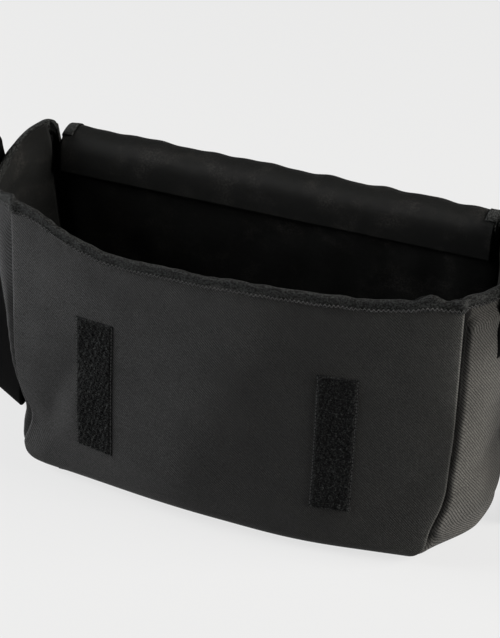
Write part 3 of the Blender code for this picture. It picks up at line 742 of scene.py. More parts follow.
def strip_surface(u, v, inset=0.0, front_gap=0.0, back_gap=0.0, below=0.0, seam_r=0.0, lively=0.0):
    x, z, out_x, out_z, crowned = outline(u, v, inset, below)
    crown = crowned * side_crown(z, x) * 4.0 * v * (1.0 - v)
    crown = crown * (1.0 - 0.16 * (x < 0) * rising(z, 0.16, 0.06) * rising(v, 0.15, 0.35))
    seam_x = np.clip(x, -HALF_W_FRONT, HALF_W_FRONT)
    low = front_y(seam_x, z) + front_gap + foot_roll(z + SEAM_LIFT)
    high = back_y(seam_x, z) - back_gap
    y = mix(low, high, v)
    depth = high - low
    sink = np.zeros_like(v + u)
    if seam_r:
        front_sink = quarter_drop(seam_r, seam_r - v * depth)
        sink = front_sink + quarter_drop(seam_r, seam_r - (1.0 - v) * depth)
    if lively:
        edge = np.minimum(v, 1.0 - v) * depth
        pucker = 0.00035 * np.sin(z * 430.0 + 3.0 * np.sin(z * 61.0) + 0.8) * np.exp(-edge / 0.008)
        run = v * STRIP_DEPTH
        swell = np.where(u < 0, 1.0, 0.8) * folds(z + 0 * v, run + 0 * z, SIDE_FOLDS)
        rough = 0.0005 * ripples(z + 0 * v, run + np.sign(u) * 0.4, 0.07, 11)
        sink = sink - lively * rising(z, 0.004, 0.03) * (pucker + swell + rough)
    if seam_r:
        # beside the front seam the cloth stands out of the groove before it turns to the side
        rise = np.clip(v * depth / 0.007, 0.0, 1.0)
        lip = SEAM_LIP * np.sqrt(np.maximum(0.0, 1.0 - (1.0 - rise) ** 2)) * falling(v, 0.0, 0.38)
        lip = lip * crowned * falling(z, 0.206, 0.021) * rising(z, 0.012, 0.03)
        plain = front_y(seam_x, z) + foot_roll(z + SEAM_LIFT)
        out, back = seam_roll(v * (high - plain), high - plain, crowned * side_crown(z, x))
        rolled = (x > 0) * crowned * rising(z, 0.01, 0.03) * falling(z, 0.2165, 0.011)
        crown = mix(crown + lip, out + front_sink, rolled)
        y = mix(y, plain + back, rolled)
    x = x + out_x * (crown - sink)
    z = z - out_z * sink
    return xyz(x, y, z)


def cosine_share(count):
    t = np.linspace(0.0, 1.0, count)
    return 0.6 * t + 0.4 * (0.5 - 0.5 * np.cos(math.pi * t))


def build_gusset():
    u = np.linspace(-1.0, 1.0, 560)[:, None]
    v = cosine_share(150)[None, :]
    points = strip_surface(u, v, 0.0, SEAM_GAP, BACK_GAP, 0.0012, SEAM_R, 1.0)
    made = grid_object("side_and_bottom", points, SIDE, CLOTH_T, flip=True)
    high, run = points[..., 2], v * 0.125 + 0.0 * u
    right = (points[..., 0] > 0) * rising(high, 0.012, 0.02)
    # painted shade: darker cloth in the front seam's ditch, on the left side only lower down, and on the
    # right side near its top, near the front seam under the mouth and over a broad band towards the back
    ditch = -0.33 * falling(run, 0.0026, 0.0022) * rising(high, 0.008, 0.02)
    ditch = ditch * np.where(points[..., 0] > 0, 1.0, falling(high, 0.15, 0.03))
    shelter_shade = -0.13 * rising(high, 0.15, 0.05) * np.exp(-run / 0.016)
    shelter_shade = shelter_shade - 0.1 * rising(high, 0.165, 0.04)
    behind = -0.26 * rising(v, 0.16, 0.38) * bump(high, 0.088, 0.062)
    paint_light_and_shade(made, np.maximum(ditch + right * (shelter_shade + behind), -0.36))
    return piece(made, "bag", ["gusset"])


def build_back_panel():
    u, v = shares(220, 150)
    z = mix(SEAM_LIFT, back_top(np.abs(u)) - 0.001, v**1.15)
    x = -u * (corner_width(z, 1.0) - FOLD_R)
    near_side = np.exp(-(half_width(z, 1.0) - np.abs(x)) / 0.007)
    pucker = 0.0003 * np.sin(z * 410.0 + 3.0 * np.sin(z * 57.0)) * near_side
    roll = quarter_drop(0.006, 0.006 - (z - SEAM_LIFT))
    y = back_y(x, z) + pucker + 0.0009 * ripples(x, z, 0.13, 5) - roll
    points = with_turned_edges(xyz(x, y, z), 1.0, -1.0)
    made = grid_object("back_shell", points, SHELL, CLOTH_T)
    return piece(made, "bag", ["back_panel"])


# ---- lining ----
def hem(z, top):
    """Share of the lining's full distance from the shell: it closes in towards the bound edge."""
    return mix(HEM_IN / LINING_IN, 1.0, smoothstep((top - z) / 0.022))


def build_linings():
    u, v = shares(180, 140)
    top = front_top(u * half_width(0.12, 0.0)) - 0.0015
    z = mix(SEAM_LIFT + LINING_IN, top, v)
    x = u * corner_width(z, 0.0, LINING_IN)
    low = smoothstep((top - z) / 0.03)
    loose = 0.0012 * ripples(x, z, 0.06, 21) * low + 0.0006
    y = front_y(x, z) + LINING_IN * hem(z, top) + loose - front_out(x, z) * (1.0 - low)
    points = xyz(x, y, z)
    made = grid_object("front_inner_cloth", points, LINING, LINING_T, flip=True)
    piece(made, "bag", ["front_lining"])

    u = np.linspace(-1.0, 1.0, 420)[:, None]
    v = np.linspace(0.0, 1.0, 60)[None, :]
    near, plain = (
        strip_surface(u, v, inset, inset + 0.0034, 0.007, 0.0015) for inset in (HEM_IN, LINING_IN)
    )
    x, z = plain[..., 0], plain[..., 2]
    share = smoothstep((mouth_z(v, x) - z) / 0.022)
    points = mix(near, plain, share[..., None])
    points[..., 0] -= np.sign(x) * (0.0006 + 0.0009 * ripples(z, v * STRIP_DEPTH, 0.05, 23)) * share
    made = grid_object("side_inner_cloth", points, LINING, LINING_T)
    piece(made, "bag", ["gusset_lining"])


def build_back_padding():
    """The padded back: foam under lining, softly crowned, its edges pulled in by the seams."""
    u, v = shares(200, 150)
    top = back_top(np.abs(u) * 0.985) - 0.003
    z = mix(SEAM_LIFT + LINING_IN, top, v)
    side = corner_width(z, 1.0, LINING_IN + 0.001)
    x = u * side
    edge = np.minimum(side - np.abs(x), np.minimum(z - 0.006, top + 0.0005 - z))
    puff = 1.0 - np.exp(-np.clip(edge, 0.0, 1.0) / 0.01)
    soft = 0.0006 * ripples(x, z, 0.05, 31) * puff
    inner = back_y(x, z) - 0.0025 - 0.0052 * puff + soft
    made = closed_slab("padded_back", xyz(x, inner, z), xyz(x, back_y(x, z) - 0.002, z), LINING)
    piece(made, "bag", ["back_lining", "back_foam"])


def closed_slab(name, front, back, finish):
    """A closed solid between two grids of the same size, joined round their rim."""
    rows, columns = front.shape[:2]
    count = rows * columns
    faces = grid_faces(rows, columns)
    faces += [f[::-1] for f in grid_faces(rows, columns, base=count)]
    at = np.arange(count).reshape(rows, columns)
    rim = np.concatenate([at[0], at[1:, -1], at[-1, -2::-1], at[-2:0:-1, 0]]).tolist()
    for a, b in zip(rim, rim[1:] + rim[:1]):
        faces.append((b, a, a + count, b + count))
    verts = np.concatenate([front.reshape(-1, 3), back.reshape(-1, 3)])
    uv = np.concatenate([arc_uv(front).reshape(-1, 2), arc_uv(back).reshape(-1, 2)])
    return mesh_object(name, verts, faces, uv, finish)


DIVIDER_Y = 0.02
DIVIDER_T = 0.0066
DIVIDER_TOP = 0.125
DIVIDER_INSET = 0.0065


def build_divider():
    """Padded wall of the laptop sleeve, quilted in three broad columns, with a bound top edge."""
    u, v = shares(190, 90)
    z = mix(SEAM_LIFT + DIVIDER_INSET, DIVIDER_TOP, v) + 0 * u
    x = u * corner_width(z, 0.7, DIVIDER_INSET)
    side = corner_width(z, 0.7, DIVIDER_INSET) - np.abs(x)
    edge = np.minimum(side, np.minimum(z - 0.009, DIVIDER_TOP - z))
    puff = 1.0 - 0.75 * np.exp(-np.clip(edge, 0.0, 1.0) / 0.007)
    puff = puff * (1.0 - 0.6 * bump(np.abs(x), 0.058, 0.0035))
    middle = DIVIDER_Y + DIVIDER_T / 2.0
    wander = 0.0008 * ripples(x, z, 0.09, 41)
    faces = (xyz(x, middle + way * DIVIDER_T / 2.0 * puff + wander, z) for way in (-1.0, 1.0))
    made = closed_slab("sleeve_wall", *faces, LINING)
    piece(made, "bag", ["divider_front_cloth", "divider_foam", "divider_back_cloth"])

    side = float(corner_width(np.array(DIVIDER_TOP), 0.7, DIVIDER_INSET))
    x = np.linspace(-side, side, 260)
    wander = 0.0008 * ripples(x, DIVIDER_TOP + 0 * x, 0.09, 41)
    line = xyz(x, middle + wander, DIVIDER_TOP)
    out = xyz(0 * x, -1.0, 0.0)
    made = folded_tape("sleeve_edge_tape", line, out, 0.0016, 0.0016, 0.0085)
    piece(made, "bag", ["divider_binding"])


# ---- bound mouth ----
def folded_tape(name, line, out, half_out, half_in, leg, level=None):
    """Binding folded over an edge. line runs along the edge, out points out of the cloth's outer face."""
    centre, radius = (half_out - half_in) / 2.0, (half_out + half_in) / 2.0
    section = [(half_out, -leg + (leg - 0.0004) * k / 6.0) for k in range(7)]
    for angle in (math.pi * k / 8.0 for k in range(1, 8)):
        section.append((centre + radius * math.cos(angle), 0.0008 * math.sin(angle) - 0.0004))
    section += [(-half_in, -0.0004 - (leg - 0.0004) * k / 6.0) for k in range(7)]
    arc = arc_of(line)
    points = np.zeros((len(line), len(section), 3))
    for k, (side, height) in enumerate(section):
        ripple = 0.00022 * ripples(arc, 0 * arc + height * 3.0, 0.016, 51) * (1.0 if side > 0 else -1.0)
        hang = 0.0004 * ripples(arc, 0 * arc, 0.025, 53)
        if level is not None and side > 0:      # the sewn edge runs straighter than the folded one
            hang = hang + (level - line[:, 2]) * np.clip(-height / leg, 0.0, 1.0)
        points[:, k] = line + out * (side + ripple)[:, None] + xyz(0.0, 0.0, height + hang)
    uv = np.stack(np.broadcast_arrays(arc_of(section)[None, :], arc[:, None]), axis=-1)
    return grid_object(name, points, TAPE, TAPE_T, uv, offset=1.0)


def smoothed(line, width):
    """line, each point averaged with those around it, over width points."""
    kernel = np.hanning(width) / np.hanning(width).sum()
    padded = np.pad(line, ((width // 2, width // 2), (0, 0)), "edge")
    return np.stack([np.convolve(padded[:, i], kernel, "valid") for i in range(3)], axis=1)


def mouth_line():
    """Points along the mouth's edge from the left back corner to the right, with the way out."""
    v = np.linspace(0.985, 0.0, 110)
    left, right = (
        strip_surface(np.full_like(v, end), v, 0.0, SEAM_GAP, BACK_GAP, 0.0, 0.0, 1.0) for end in (1.0, -1.0)
    )
    share = np.linspace(0.948, 0.996, 24)
    climb = xyz(share * HALF_W_BACK, back_y(share * HALF_W_BACK, back_top(share)), back_top(share))
    left = np.concatenate([climb * [-1.0, 1.0, 1.0], left])
    right = np.concatenate([climb, right])[::-1]
    x = np.linspace(-MOUTH_HALF_W, MOUTH_HALF_W, 420)
    z = front_top(x)
    line = np.concatenate([left, xyz(x, front_surface(x, z), z), right])
    joins = (len(left), len(left) + len(x) - 1)
    arc = arc_of(line)
    even = np.linspace(0.0, arc[-1], 900)
    line = smoothed(along_line(even, arc, line), 13)
    along = np.gradient(line, axis=0)
    out = unit(xyz(along[:, 1], -along[:, 0], 0.0))
    for join in joins:       # the tape goes round the two front corners with room to spare
        line = line + out * (0.0018 * bump(even, arc[join], 0.0045))[:, None]
    return line, out, smoothed(line, 75)[:, 2]


def build_mouth_binding():
    line, out, level = mouth_line()
    made = folded_tape("mouth_tape", line, out, 0.0007, HEM_IN + 0.0013, 0.0092, level=level)
    piece(made, "bag", ["mouth_binding_front", "mouth_binding_left", "mouth_binding_right"])
    low = line + out * 0.0014
    low[:, 2] = mix(line[:, 2], level, 0.75) - 0.007
    arc = arc_of(low)
    corners = np.linspace(0.0, arc[-1], int(arc[-1] / 0.0016))
    zigzag, facing = along_line(corners, arc, low), along_line(corners, arc, out)
    zigzag[:, 2] += 0.0012 * (-1.0) ** np.arange(len(corners))
    pitch = np.linalg.norm(zigzag[1] - zigzag[0])
    row = stitches("mouth_stitching", zigzag, facing, PALE_THREAD, pitch / 2.0, pitch / 2.0, 0.00034, 0.0003)
    piece(row, "bag")


# ---- touch fastener strips ----
def strip_relief(a, b, width, height, tall):
    """Thickness of a pile strip at a, b from its middle: a thin woven border round matted pile."""
    side, end = width / 2.0 - np.abs(a), height / 2.0 - np.abs(b)
    border = 0.0007 * smoothstep(np.minimum(side, end) / 0.0004)
    pile = rising(side, 0.0016, 0.001) * rising(end, 0.0004, 0.0006)
    matted = 0.75 + 0.3 * ripples(a, b, 0.0022, 61) + 0.25 * ripples(a, b, 0.005, 62)
    return border + pile * tall * np.clip(matted, 0.25, 1.5)


def build_pile_strip(name, node, place, height, tall, finish, body):
    """place(a, b, lift) gives points on the cloth beneath, a across and b along the strip."""
    a = np.linspace(-LOOP_W / 2.0, LOOP_W / 2.0, 110)[None, :]
    b = np.linspace(-height / 2.0, height / 2.0, 330)[:, None]
    lift = strip_relief(a, b, LOOP_W, height, tall)
    grain = np.array([RNG.random() for _ in range(lift.size)]).reshape(lift.shape)
    pile_area = (LOOP_W / 2.0 - np.abs(a) > 0.0022) & (height / 2.0 - np.abs(b) > 0.0006)
    lift = lift + np.where(pile_area, (grain - 0.5) * 0.00055, 0.0)
    points = place(a + 0 * b, b + 0 * a, lift)
    uv = np.stack([a + 0 * b, b + 0 * a], axis=-1)
    piece(grid_object(name, points, finish, uv=uv), body, [node])
    w, h = LOOP_W / 2.0 - 0.0011, height / 2.0 - 0.0011
    rect = drawn([(-w, -h), (w, -h), (w, h), (-w, h), (-w, -h)])
    at = place(rect[:, 0], rect[:, 1], 0 * rect[:, 0] + 0.0007)
    above = place(rect[:, 0], rect[:, 1], 0 * rect[:, 0] + 0.0017)
    sewn = stitches(name + "_stitching", at, above - at, THREAD, length=0.0024, gap=0.0008, radius=0.00026)
    piece(sewn, body)


def build_loop_strips():
    for end, centre in LOOP_CENTRES:

        def place(a, b, lift, centre=centre):
            x, z = centre + a, LOOP_Z + LOOP_H / 2.0 + b
            return xyz(x, front_surface(x, z) - lift - 0.0001, z)

        build_pile_strip(f"loop_pile_{end}", f"loop_strip_{end}", place, LOOP_H, 0.0011, PILE, "bag")


build_gusset()
build_back_panel()
build_linings()
build_back_padding()
build_divider()
build_mouth_binding()
build_loop_strips()
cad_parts["base_board"].material_slots[0].material = BOARD


# ---- flap ----
FOLD = np.array((ROLL_Y, HINGE_Z - FLAP_TOP_LEN))
TAIL_WAY = np.array((math.sin(math.radians(FOLD_REST_DEG)), -math.cos(math.radians(FOLD_REST_DEG))))


def tail_point(t, droop=0.0):
    return tuple(FOLD + TAIL_WAY * t + np.array((0.0, -droop)))


# Middle of the flap's thickness as (y, z), from inside the back's top edge, over it and down to the tail.
FLAP_PATH = (
    (0.0494, 0.212), (0.0502, 0.225), (0.0522, 0.2345), (0.0575, 0.2396),
    (0.065, 0.2411), (0.0725, 0.2394), (0.0785, 0.2335), (0.0803, 0.224),
    (0.0803, 0.2), (0.08, 0.172), (0.0802, 0.143), (0.0838, 0.1225),
    (0.093, 0.107),
    tail_point(0.036, 0.0005), tail_point(0.075, 0.0025), tail_point(0.12, 0.004),
    tail_point(0.165, 0.0035), tail_point(0.2, 0.0015), tail_point(0.212, 0.0),
)


def smooth_path(points, per_span):
    """A Catmull-Rom curve through points, with the same number of steps from each to the next."""
    p = np.array(points, float)
    p = np.concatenate([2 * p[:1] - p[1:2], p, 2 * p[-1:] - p[-2:-1]])
    spans = []
    for i in range(1, len(p) - 2):
        a, b, c, d = p[i - 1], p[i], p[i + 1], p[i + 2]
        f = np.linspace(0.0, 1.0, per_span, endpoint=False)[:, None]
        square, cube = 2 * a - 5 * b + 4 * c - d, 3 * b - a - 3 * c + d
        spans.append(0.5 * (2 * b + (c - a) * f + square * f**2 + cube * f**3))
    return np.concatenate(spans + [p[-2:-1]])


GROUND_GAP = 0.0024          # the tail's middle stays this far above the ground
FLAP_STEPS = 40              # between two points of the path
FLAP_CURVE = smooth_path(FLAP_PATH, FLAP_STEPS)
FLAP_ARC = arc_of(FLAP_CURVE)
FLAP_LENGTH = float(FLAP_ARC[-1])


def flap_at(s):
    return (np.interp(s, FLAP_ARC, FLAP_CURVE[:, i]) for i in range(2))


def flap_arc_of(index):
    """Arc length at one of FLAP_PATH's points."""
    return float(FLAP_ARC[min(index * FLAP_STEPS, len(FLAP_ARC) - 1)])


def flap_wave(x, s):
    hanging = rising(s, 0.05, 0.06)
    crease = 0.0009 * ripples(x, s * 0.6, 0.03, 71) * bump(s, 0.045, 0.022)
    sag = 0.0016 * ripples(x, s * 0.7, 0.15, 72) * hanging
    edge = rising(np.abs(x), 0.12, 0.06)
    return crease + sag + 0.0022 * hanging * edge * np.sin(s * 34.0 + np.sign(x) * 0.9)


def flap_point(x, s, off):
    """A point of the flap: off is towards its lining, which lies outside while it is thrown back."""
    (y, z), (y1, z1), (y2, z2) = (flap_at(s + near) for near in (0.0, -0.0008, 0.0008))
    ty, tz = y2 - y1, z2 - z1
    size = np.maximum(np.hypot(ty, tz), 1e-9)
    ny, nz = -tz / size, ty / size
    lift = off + flap_wave(x, s)
    return xyz(x, y + ny * lift, np.maximum(z + nz * lift, GROUND_GAP))


def flap_half_width(s):
    """Half width at arc length s, with round corners at the tail."""
    beyond = np.clip(s - (FLAP_LENGTH - FLAP_CORNER_R), 0.0, FLAP_CORNER_R)
    return FLAP_HALF_W - FLAP_CORNER_R + np.sqrt(np.maximum(0.0, FLAP_CORNER_R**2 - beyond**2))


CREST = flap_arc_of(4) + 0.004        # where the roll over the hinge ends and the top cover begins
HANG = flap_arc_of(8) + 0.01          # where the top cover ends and the hanging front begins
FLAP_SPANS = (
    ("roll", 0.0, CREST, "bag", "flap_hinge", (0, 0.0515, 0.239), (0, 0.0655, 0.239)),
    ("top", CREST, HANG, "flap_hinge", "flap_top", (0, 0.0715, 0.24), (0, 0.0803, 0.226)),
    ("front", HANG, FLAP_LENGTH, "flap_top", "flap_front", (0, 0.079, 0.135), (0, 0.0965, 0.1015)),
)
# The outer cloth and the binding begin further along the flap than its lining, which runs on
# down inside the bag.
SHELL_BEGINS = 0.0285
TAPE_BEGINS = 0.03


def flap_layer(name, start, end, off, finish, flip):
    rows = max(12, int((end - start) / 0.0016))
    s = np.linspace(start, end, rows)[:, None]
    if end >= FLAP_LENGTH - 1e-6:
        s = start + (end - start) * (1.0 - (1.0 - np.linspace(0.0, 1.0, rows)[:, None]) ** 1.25)
    x = np.linspace(-1.0, 1.0, 230)[None, :] * flap_half_width(s)
    points = flap_point(x, s + 0 * x, off)
    uv = np.stack([x, s + 0 * x], axis=-1)
    made = grid_object(name, points, finish, CLOTH_T, uv, flip=flip)
    bpy.context.view_layer.objects.active = made
    return made


def apply_modifiers(made):
    graph = bpy.context.evaluated_depsgraph_get()
    mesh = bpy.data.meshes.new_from_object(made.evaluated_get(graph))
    made.modifiers.clear()
    made.data = mesh
    return made


def build_flap():
    for name, start, end, a, b, low, high in FLAP_SPANS:
        shell_start = start + (SHELL_BEGINS if name == "roll" else 0.0)
        layers = (
            ("shell", shell_start, -0.0016, SHELL, "shell_twill", False),
            ("lining", start, 0.0013, LINING, "lining_cloth", True),
        )
        for layer, begin, off, finish, slot_name, flip in layers:
            made = flap_layer(f"flap_{name}_{layer}", begin, end, off, finish, flip)
            apply_modifiers(made)
            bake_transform(made)
            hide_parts(f"{b}_{layer}")


def edge_section(leg, thick):
    """Inward and sideways offsets of a tape folded over a cloth edge."""
    section = [(leg - (leg - 0.0003) * k / 5.0, thick) for k in range(6)]
    for k in range(1, 8):
        angle = math.pi * k / 8.0
        section.append((-0.0011 * math.sin(angle), thick * math.cos(angle)))
    section += [(0.0003 + (leg - 0.0003) * k / 5.0, -thick) for k in range(6)]
    return section


def flap_tape(name, start, end, corners):
    """Binding down each side, or down one side, round the tail and up the other."""
    side_end = min(end, FLAP_LENGTH - FLAP_CORNER_R)
    s = np.linspace(start, side_end, max(10, int((side_end - start) / 0.0015)))
    right = xyz(s, FLAP_HALF_W, 0.0)          # rows of arc length, x and the angle of the way out
    if corners:
        angle, inner = np.linspace(0.0, math.pi / 2.0, 34)[1:], FLAP_HALF_W - FLAP_CORNER_R
        corner = xyz(np.sin(angle), np.cos(angle), 0.0) * FLAP_CORNER_R + xyz(side_end, inner, angle)
        tail = xyz(FLAP_LENGTH, np.linspace(inner, -inner, 210)[1:-1], math.pi / 2.0)
        right = np.concatenate([right, corner])
    left = right * [1.0, -1.0, -1.0] + [0.0, 0.0, math.pi]
    both = {name + "_left": left, name + "_right": right}
    made = []
    section = edge_section(0.008, 0.0031)
    for label, line in ({name: np.concatenate([right, tail, left[::-1]])} if corners else both).items():
        s, x, angle = line.T
        points = np.zeros((len(line), len(section), 3))
        for k, (inward, off) in enumerate(section):
            along = np.minimum(s - np.sin(angle) * inward, FLAP_LENGTH + 0.0015)
            points[:, k] = flap_point(x - np.cos(angle) * inward, along, off - 0.0002)
        round_edge = np.linspace(0.0, 0.019, len(section))[None, :]
        uv = np.stack(np.broadcast_arrays(round_edge, arc_of(points[:, 0])[:, None]), axis=-1)
        made.append(grid_object(label, points, TAPE, 0.0005, uv, offset=0.0))
    return made


def build_flap_tape():
    for name, start, end, a, b, low, high in FLAP_SPANS:
        begin = start + (TAPE_BEGINS if name == "roll" else 0.0)
        for k, made in enumerate(flap_tape(f"flap_{name}_tape", begin, end, name == "front")):
            apply_modifiers(made)
            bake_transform(made)
            if name != "roll":
                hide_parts(f"{b}_binding" + ("" if name == "front" else ("_left", "_right")[k]))


def build_hooks():
    fold_s = flap_arc_of(13) - 0.036
    middle_s = fold_s + HINGE_Z + (ROLL_Y - HINGE_Y) * math.sqrt(0.5) - (LOOP_Z + LOOP_H / 2.0)
    for end, centre in LOOP_CENTRES:

        def place(a, b, lift, centre=centre):
            return flap_point(centre + a, middle_s + b, 0.0015 + lift)

        build_pile_strip(f"hook_pile_{end}", f"hook_strip_{end}", place, HOOK_H, 0.0008, HOOKS, "flap_front")


build_flap()
build_flap_tape()
build_hooks()


# ---- shoulder strap ----
# One arm of the strap: x, y, z, way across its width, and how much further out the right arm lies.
ARM_ROUTE = (
    (-0.219, 0.0, 0.25, 0.0, -1.0, 0.0, 0.0),
    (-0.23, 0.0, 0.25, 0.0, -1.0, 0.0, 0.0),
    (-0.2385, 0.001, 0.244, 0.0, -1.0, 0.0, 0.0),
    (-0.2385, 0.003, 0.228, 0.0, -1.0, 0.0, 0.003),
    (-0.23, 0.01, 0.195, 0.15, -0.99, 0.0, 0.009),
    (-0.2245, 0.022, 0.155, 0.55, -0.83, 0.0, 0.014),
    (-0.2225, 0.0255, 0.115, 0.78, -0.62, 0.0, 0.018),
    (-0.2205, 0.024, 0.074, 0.87, -0.49, 0.0, 0.022),
    (-0.219, 0.019, 0.035, 0.86, -0.51, 0.0, 0.02),
    (-0.2195, 0.0165, 0.012, 0.85, -0.52, 0.0, 0.017),
    (-0.2198, 0.0195, 0.0032, 0.85, -0.52, 0.0, 0.014),
    (-0.2202, 0.031, 0.002, 0.88, -0.47, 0.0, 0.011),
    (-0.2215, 0.057, 0.0022, 0.96, -0.28, 0.0, 0.007),
    (-0.224, 0.085, 0.0025, 1.0, 0.0, 0.0, 0.003),
    (-0.226, 0.13, 0.006, 0.99, 0.0, 0.12, 0.0),
    (-0.2265, 0.19, 0.0185, 0.82, 0.0, 0.57, 0.0),
    (-0.224, 0.236, 0.029, 0.3, 0.0, 0.95, 0.0),
    (-0.214, 0.277, BACK_RUN_Z, 0.0, 0.0, 1.0, 0.0),
    (-0.188, 0.306, BACK_RUN_Z, 0.0, 0.0, 1.0, 0.0),
    (-0.148, BACK_RUN_Y, BACK_RUN_Z, 0.0, 0.0, 1.0, 0.0),
    (-0.11, BACK_RUN_Y, BACK_RUN_Z, 0.0, 0.0, 1.0, 0.0),
)
ARM_SPAN = 14                # samples between two points of the route


def arm(sign):
    """Centres and width directions along one arm, from the side panel to the run behind the bag."""
    route = np.array(ARM_ROUTE)
    if sign > 0:
        route[:, 0] -= route[:, 6]
    path = smooth_path(route[:, :6] * [-sign, 1.0, 1.0, -sign, 1.0, 1.0], ARM_SPAN)
    return path[:, :3], path[:, 3:]


def band(name, centres, across):
    """A closed band of webbing with rounded selvages. UV is in metres, v along it."""
    across = unit(across)
    normal = unit(np.cross(across, unit(np.gradient(centres, axis=0))))
    half_w, half_t = WEB_HALF_W, WEB_T / 2.0
    section = [(a * (half_w - half_t * 0.5), half_t) for a in np.linspace(-1.0, 1.0, 21)]
    section += [(half_w, half_t * 0.45), (half_w, -half_t * 0.45)]
    section += [(-a, -n) for a, n in section]
    rows, count = len(centres), len(section)
    points = np.zeros((rows, count, 3))
    for k, (a, n) in enumerate(section):
        points[:, k] = centres + across * a + normal * n
    around = np.array([a for a, n in section])
    uv = np.stack(np.broadcast_arrays(around[None, :], arc_of(centres)[:, None]), axis=-1)
    faces = grid_faces(rows, count, True)
    faces.append(list(range(count))[::-1])
    faces.append([(rows - 1) * count + k for k in range(count)])
    return mesh_object(name, points.reshape(-1, 3), faces, uv.reshape(-1, 2), WEB)


def tab_and_root(sign):
    """The sewn tab, then the strap as it leaves it and turns outwards and down."""
    y = np.linspace(-WEB_HALF_W, WEB_HALF_W, 25)[None, :]
    z_up = np.linspace(TAB_LOW, TAB_TOP, 46)[:, None]

    def over_side(y, z):
        low, high = front_y(HALF_W_FRONT, z) + TAB_GAP, back_y(HALF_W_FRONT, z) - TAB_GAP
        v = (y - low) / (high - low)
        return half_width(z, v) + side_crown(z, sign) * 4.0 * v * (1.0 - v)

    curved = over_side(y, z_up) + 0.0019 + 0.0016 * rising(z_up, 0.222, 0.01)
    flat = over_side(0.0 * y, z_up) + 0.0035
    x_up = mix(curved, flat, rising(z_up, 0.226, 0.018))
    tab = xyz(x_up, y, z_up)
    top_x = float(x_up[-1, y.size // 2])
    run = [(top_x - 0.0002, 0.24), (top_x + 0.0002, 0.2455), (top_x + 0.0022, 0.2492)]
    run += [(top_x + 0.0062, 0.2506), (0.2245, 0.2506), (0.23, 0.25)]
    bend = smooth_path(run, 10)[10:]
    root = xyz(bend[:, 0][:, None], y, bend[:, 1][:, None])
    reach = arm(1.0)[0][ARM_SPAN:ARM_SPAN * 2 + 4]
    down = reach[:, None, :] + xyz(0.0, y, 0.0)
    points = np.concatenate([tab[:-2], root[1:-1], down], axis=0)
    points[..., 0] *= sign
    name = "left" if sign < 0 else "right"
    made = grid_object(f"strap_root_{name}", points, WEB, WEB_T, flip=sign > 0, offset=0.0)
    settle_mesh(made, lambda at: falling(at[:, 2], 0.222, 0.024))
    apply_modifiers(made)
    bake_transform(made)
    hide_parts(f"strap_tab_{name}")

    w, low, high = 0.0215, TAB_LOW + 0.0035, TAB_LOW + 0.0385
    box = drawn([(-w, low), (w, low), (w, high), (-w, high), (-w, low), (w, high), (w, low), (-w, high)])
    at = xyz(sign * (over_side(box[:, 0], box[:, 1]) + 0.0029), box[:, 0], box[:, 1])
    out = xyz(sign + 0 * at[:, 0], 0.0, 0.0)
    sewn = stitches(f"tab_stitching_{name}", at, out, THREAD, length=0.0026, gap=0.0008, radius=0.00034)
    piece(sewn, "bag")


def straight(start_x, end_x, y, count):
    x = np.linspace(start_x, end_x, count)
    return xyz(x, y, BACK_RUN_Z), xyz(0 * x, 0.0, 1.0)


def half_turn(bar_x, bar_y, radius, facing, count=16):
    angle = np.linspace(0.0, math.pi, count)[1:-1]
    at = xyz(bar_x + facing * radius * np.sin(angle), bar_y - radius * np.cos(angle), BACK_RUN_Z)
    return at, xyz(0 * angle, 0.0, 1.0)


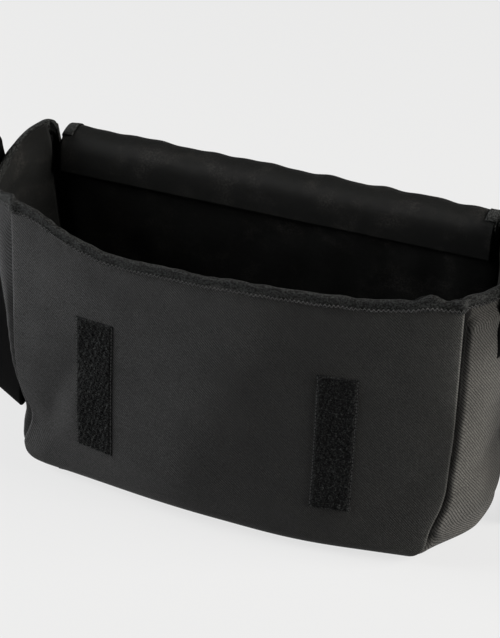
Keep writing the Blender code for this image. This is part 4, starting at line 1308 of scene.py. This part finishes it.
def build_strap():
    loop_r = LAYER_Y / 2.0
    left_bar, right_bar = RING_X - RING_PITCH / 2.0, RING_X + RING_PITCH / 2.0
    bar_y, return_y = BACK_RUN_Y + loop_r, BACK_RUN_Y + LAYER_Y
    last_x = -ARM_ROUTE[-1][0]
    lengths = (("short", -1.0, left_bar, 14, 0.03, 12), ("long", 1.0, right_bar, 40, 0.0005, 2))
    for name, sign, bar, count, back, back_count in lengths:
        runs = [tuple(part[ARM_SPAN * 2 + 2:] for part in arm(sign))]
        runs.append(straight(sign * (last_x - 0.003), bar, BACK_RUN_Y, count))
        runs.append(half_turn(bar, bar_y, loop_r, -sign))
        runs.append(straight(bar, bar + sign * back, return_y, back_count))
        centres, across = (np.concatenate(part) for part in zip(*runs))
        piece(band(f"strap_{name}_band", centres, across), "strap", [f"strap_{name}"])

    anchor = (right_bar + 0.0005, return_y, BACK_RUN_Z)
    made = band("strap_return_band", *straight(anchor[0], SLIDER_X - 0.004, return_y, 40))
    piece(made, "strap", ["strap_return"])
    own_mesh(made)

    turn_r = SLIDER_BAR_R + 0.0004 + WEB_T / 2.0
    tail_y = return_y - WEB_T - 0.0005
    turned = half_turn(SLIDER_X, return_y - turn_r, turn_r, 1.0, 20)[0]
    start = xyz(SLIDER_X - np.array([0.004, 0.0015]), return_y, BACK_RUN_Z)
    dip = xyz(np.array([SLIDER_X - 0.006]), tail_y - 0.0012, BACK_RUN_Z)
    tail = xyz(SLIDER_X - 0.011 - 0.0038 * np.arange(6), tail_y, BACK_RUN_Z)
    centres = np.concatenate([start, turned[::-1], dip, tail])
    made = band("slider_loop_band", centres, xyz(0 * centres[:, 0], 0.0, 1.0))
    piece(made, "strap_slider", ["slider_loop"])

    for name in ("ring", "slider"):
        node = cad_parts[name]
        node.material_slots[0].material = PLASTIC
        soften = node.modifiers.new("eased edges", "BEVEL")
        soften.width = 0.0004
        soften.segments = 3
        soften.limit_method = "ANGLE"
        soften.angle_limit = math.radians(35)


for sign in (-1.0, 1.0):
    tab_and_root(sign)
build_strap()


# ---- the room ----
LAMP_DISTANCE = 2.2
LAMP_SIZE = 1.2
LAMP_TARGET = Vector((0.0, 0.0, 0.12))
FLOOR_REACH = 12.0
FLOOR_Z = -0.0003


def area_light(name, place, power, tint):
    lamp = bpy.data.lights.new(name, "AREA")
    lamp.shape = "RECTANGLE"
    lamp.size = lamp.size_y = LAMP_SIZE
    lamp.energy = power
    lamp.color = tint
    made = bpy.data.objects.new(name, lamp)
    made.location = place
    made.rotation_mode = "QUATERNION"
    made.rotation_quaternion = (LAMP_TARGET - place).to_track_quat("-Z", "Y")
    return link(made)


def build_room():
    world = bpy.data.worlds.new("studio")
    bpy.context.scene.world = world
    world.use_nodes = True
    shade = world.node_tree.nodes["Background"]
    shade.inputs["Color"].default_value = (0.86, 0.86, 0.86, 1.0)
    shade.inputs["Strength"].default_value = 0.1

    floor_paint, shader = new_material("pale floor", 0.9, 0.0, 0.0)
    shader.inputs["Base Color"].default_value = (0.07, 0.07, 0.07, 1.0)
    shader.inputs["Emission Color"].default_value = (0.86, 0.86, 0.86, 1.0)
    shader.inputs["Emission Strength"].default_value = 0.835
    corners = FLOOR_REACH * np.array([(-1.0, -1.0), (1.0, -1.0), (1.0, 1.0), (-1.0, 1.0)])
    corners = xyz(corners[:, 0], corners[:, 1], FLOOR_Z)
    mesh_object("floor", corners, [(0, 1, 2, 3)], None, floor_paint)

    lamps = (
        ("right softbox", 94, 24, 120.0, (1.0, 0.97, 0.92)),
        ("left softbox", -76, 26, 100.0, (0.99, 1.0, 1.0)),
    )
    for name, azimuth, elevation, power, tint in lamps:
        place = way_out(azimuth, elevation) * LAMP_DISTANCE + Vector((0.0, 0.0, 0.1))
        area_light(name, place, power, tint)
    bpy.context.scene.view_settings.view_transform = "Standard"


build_room()
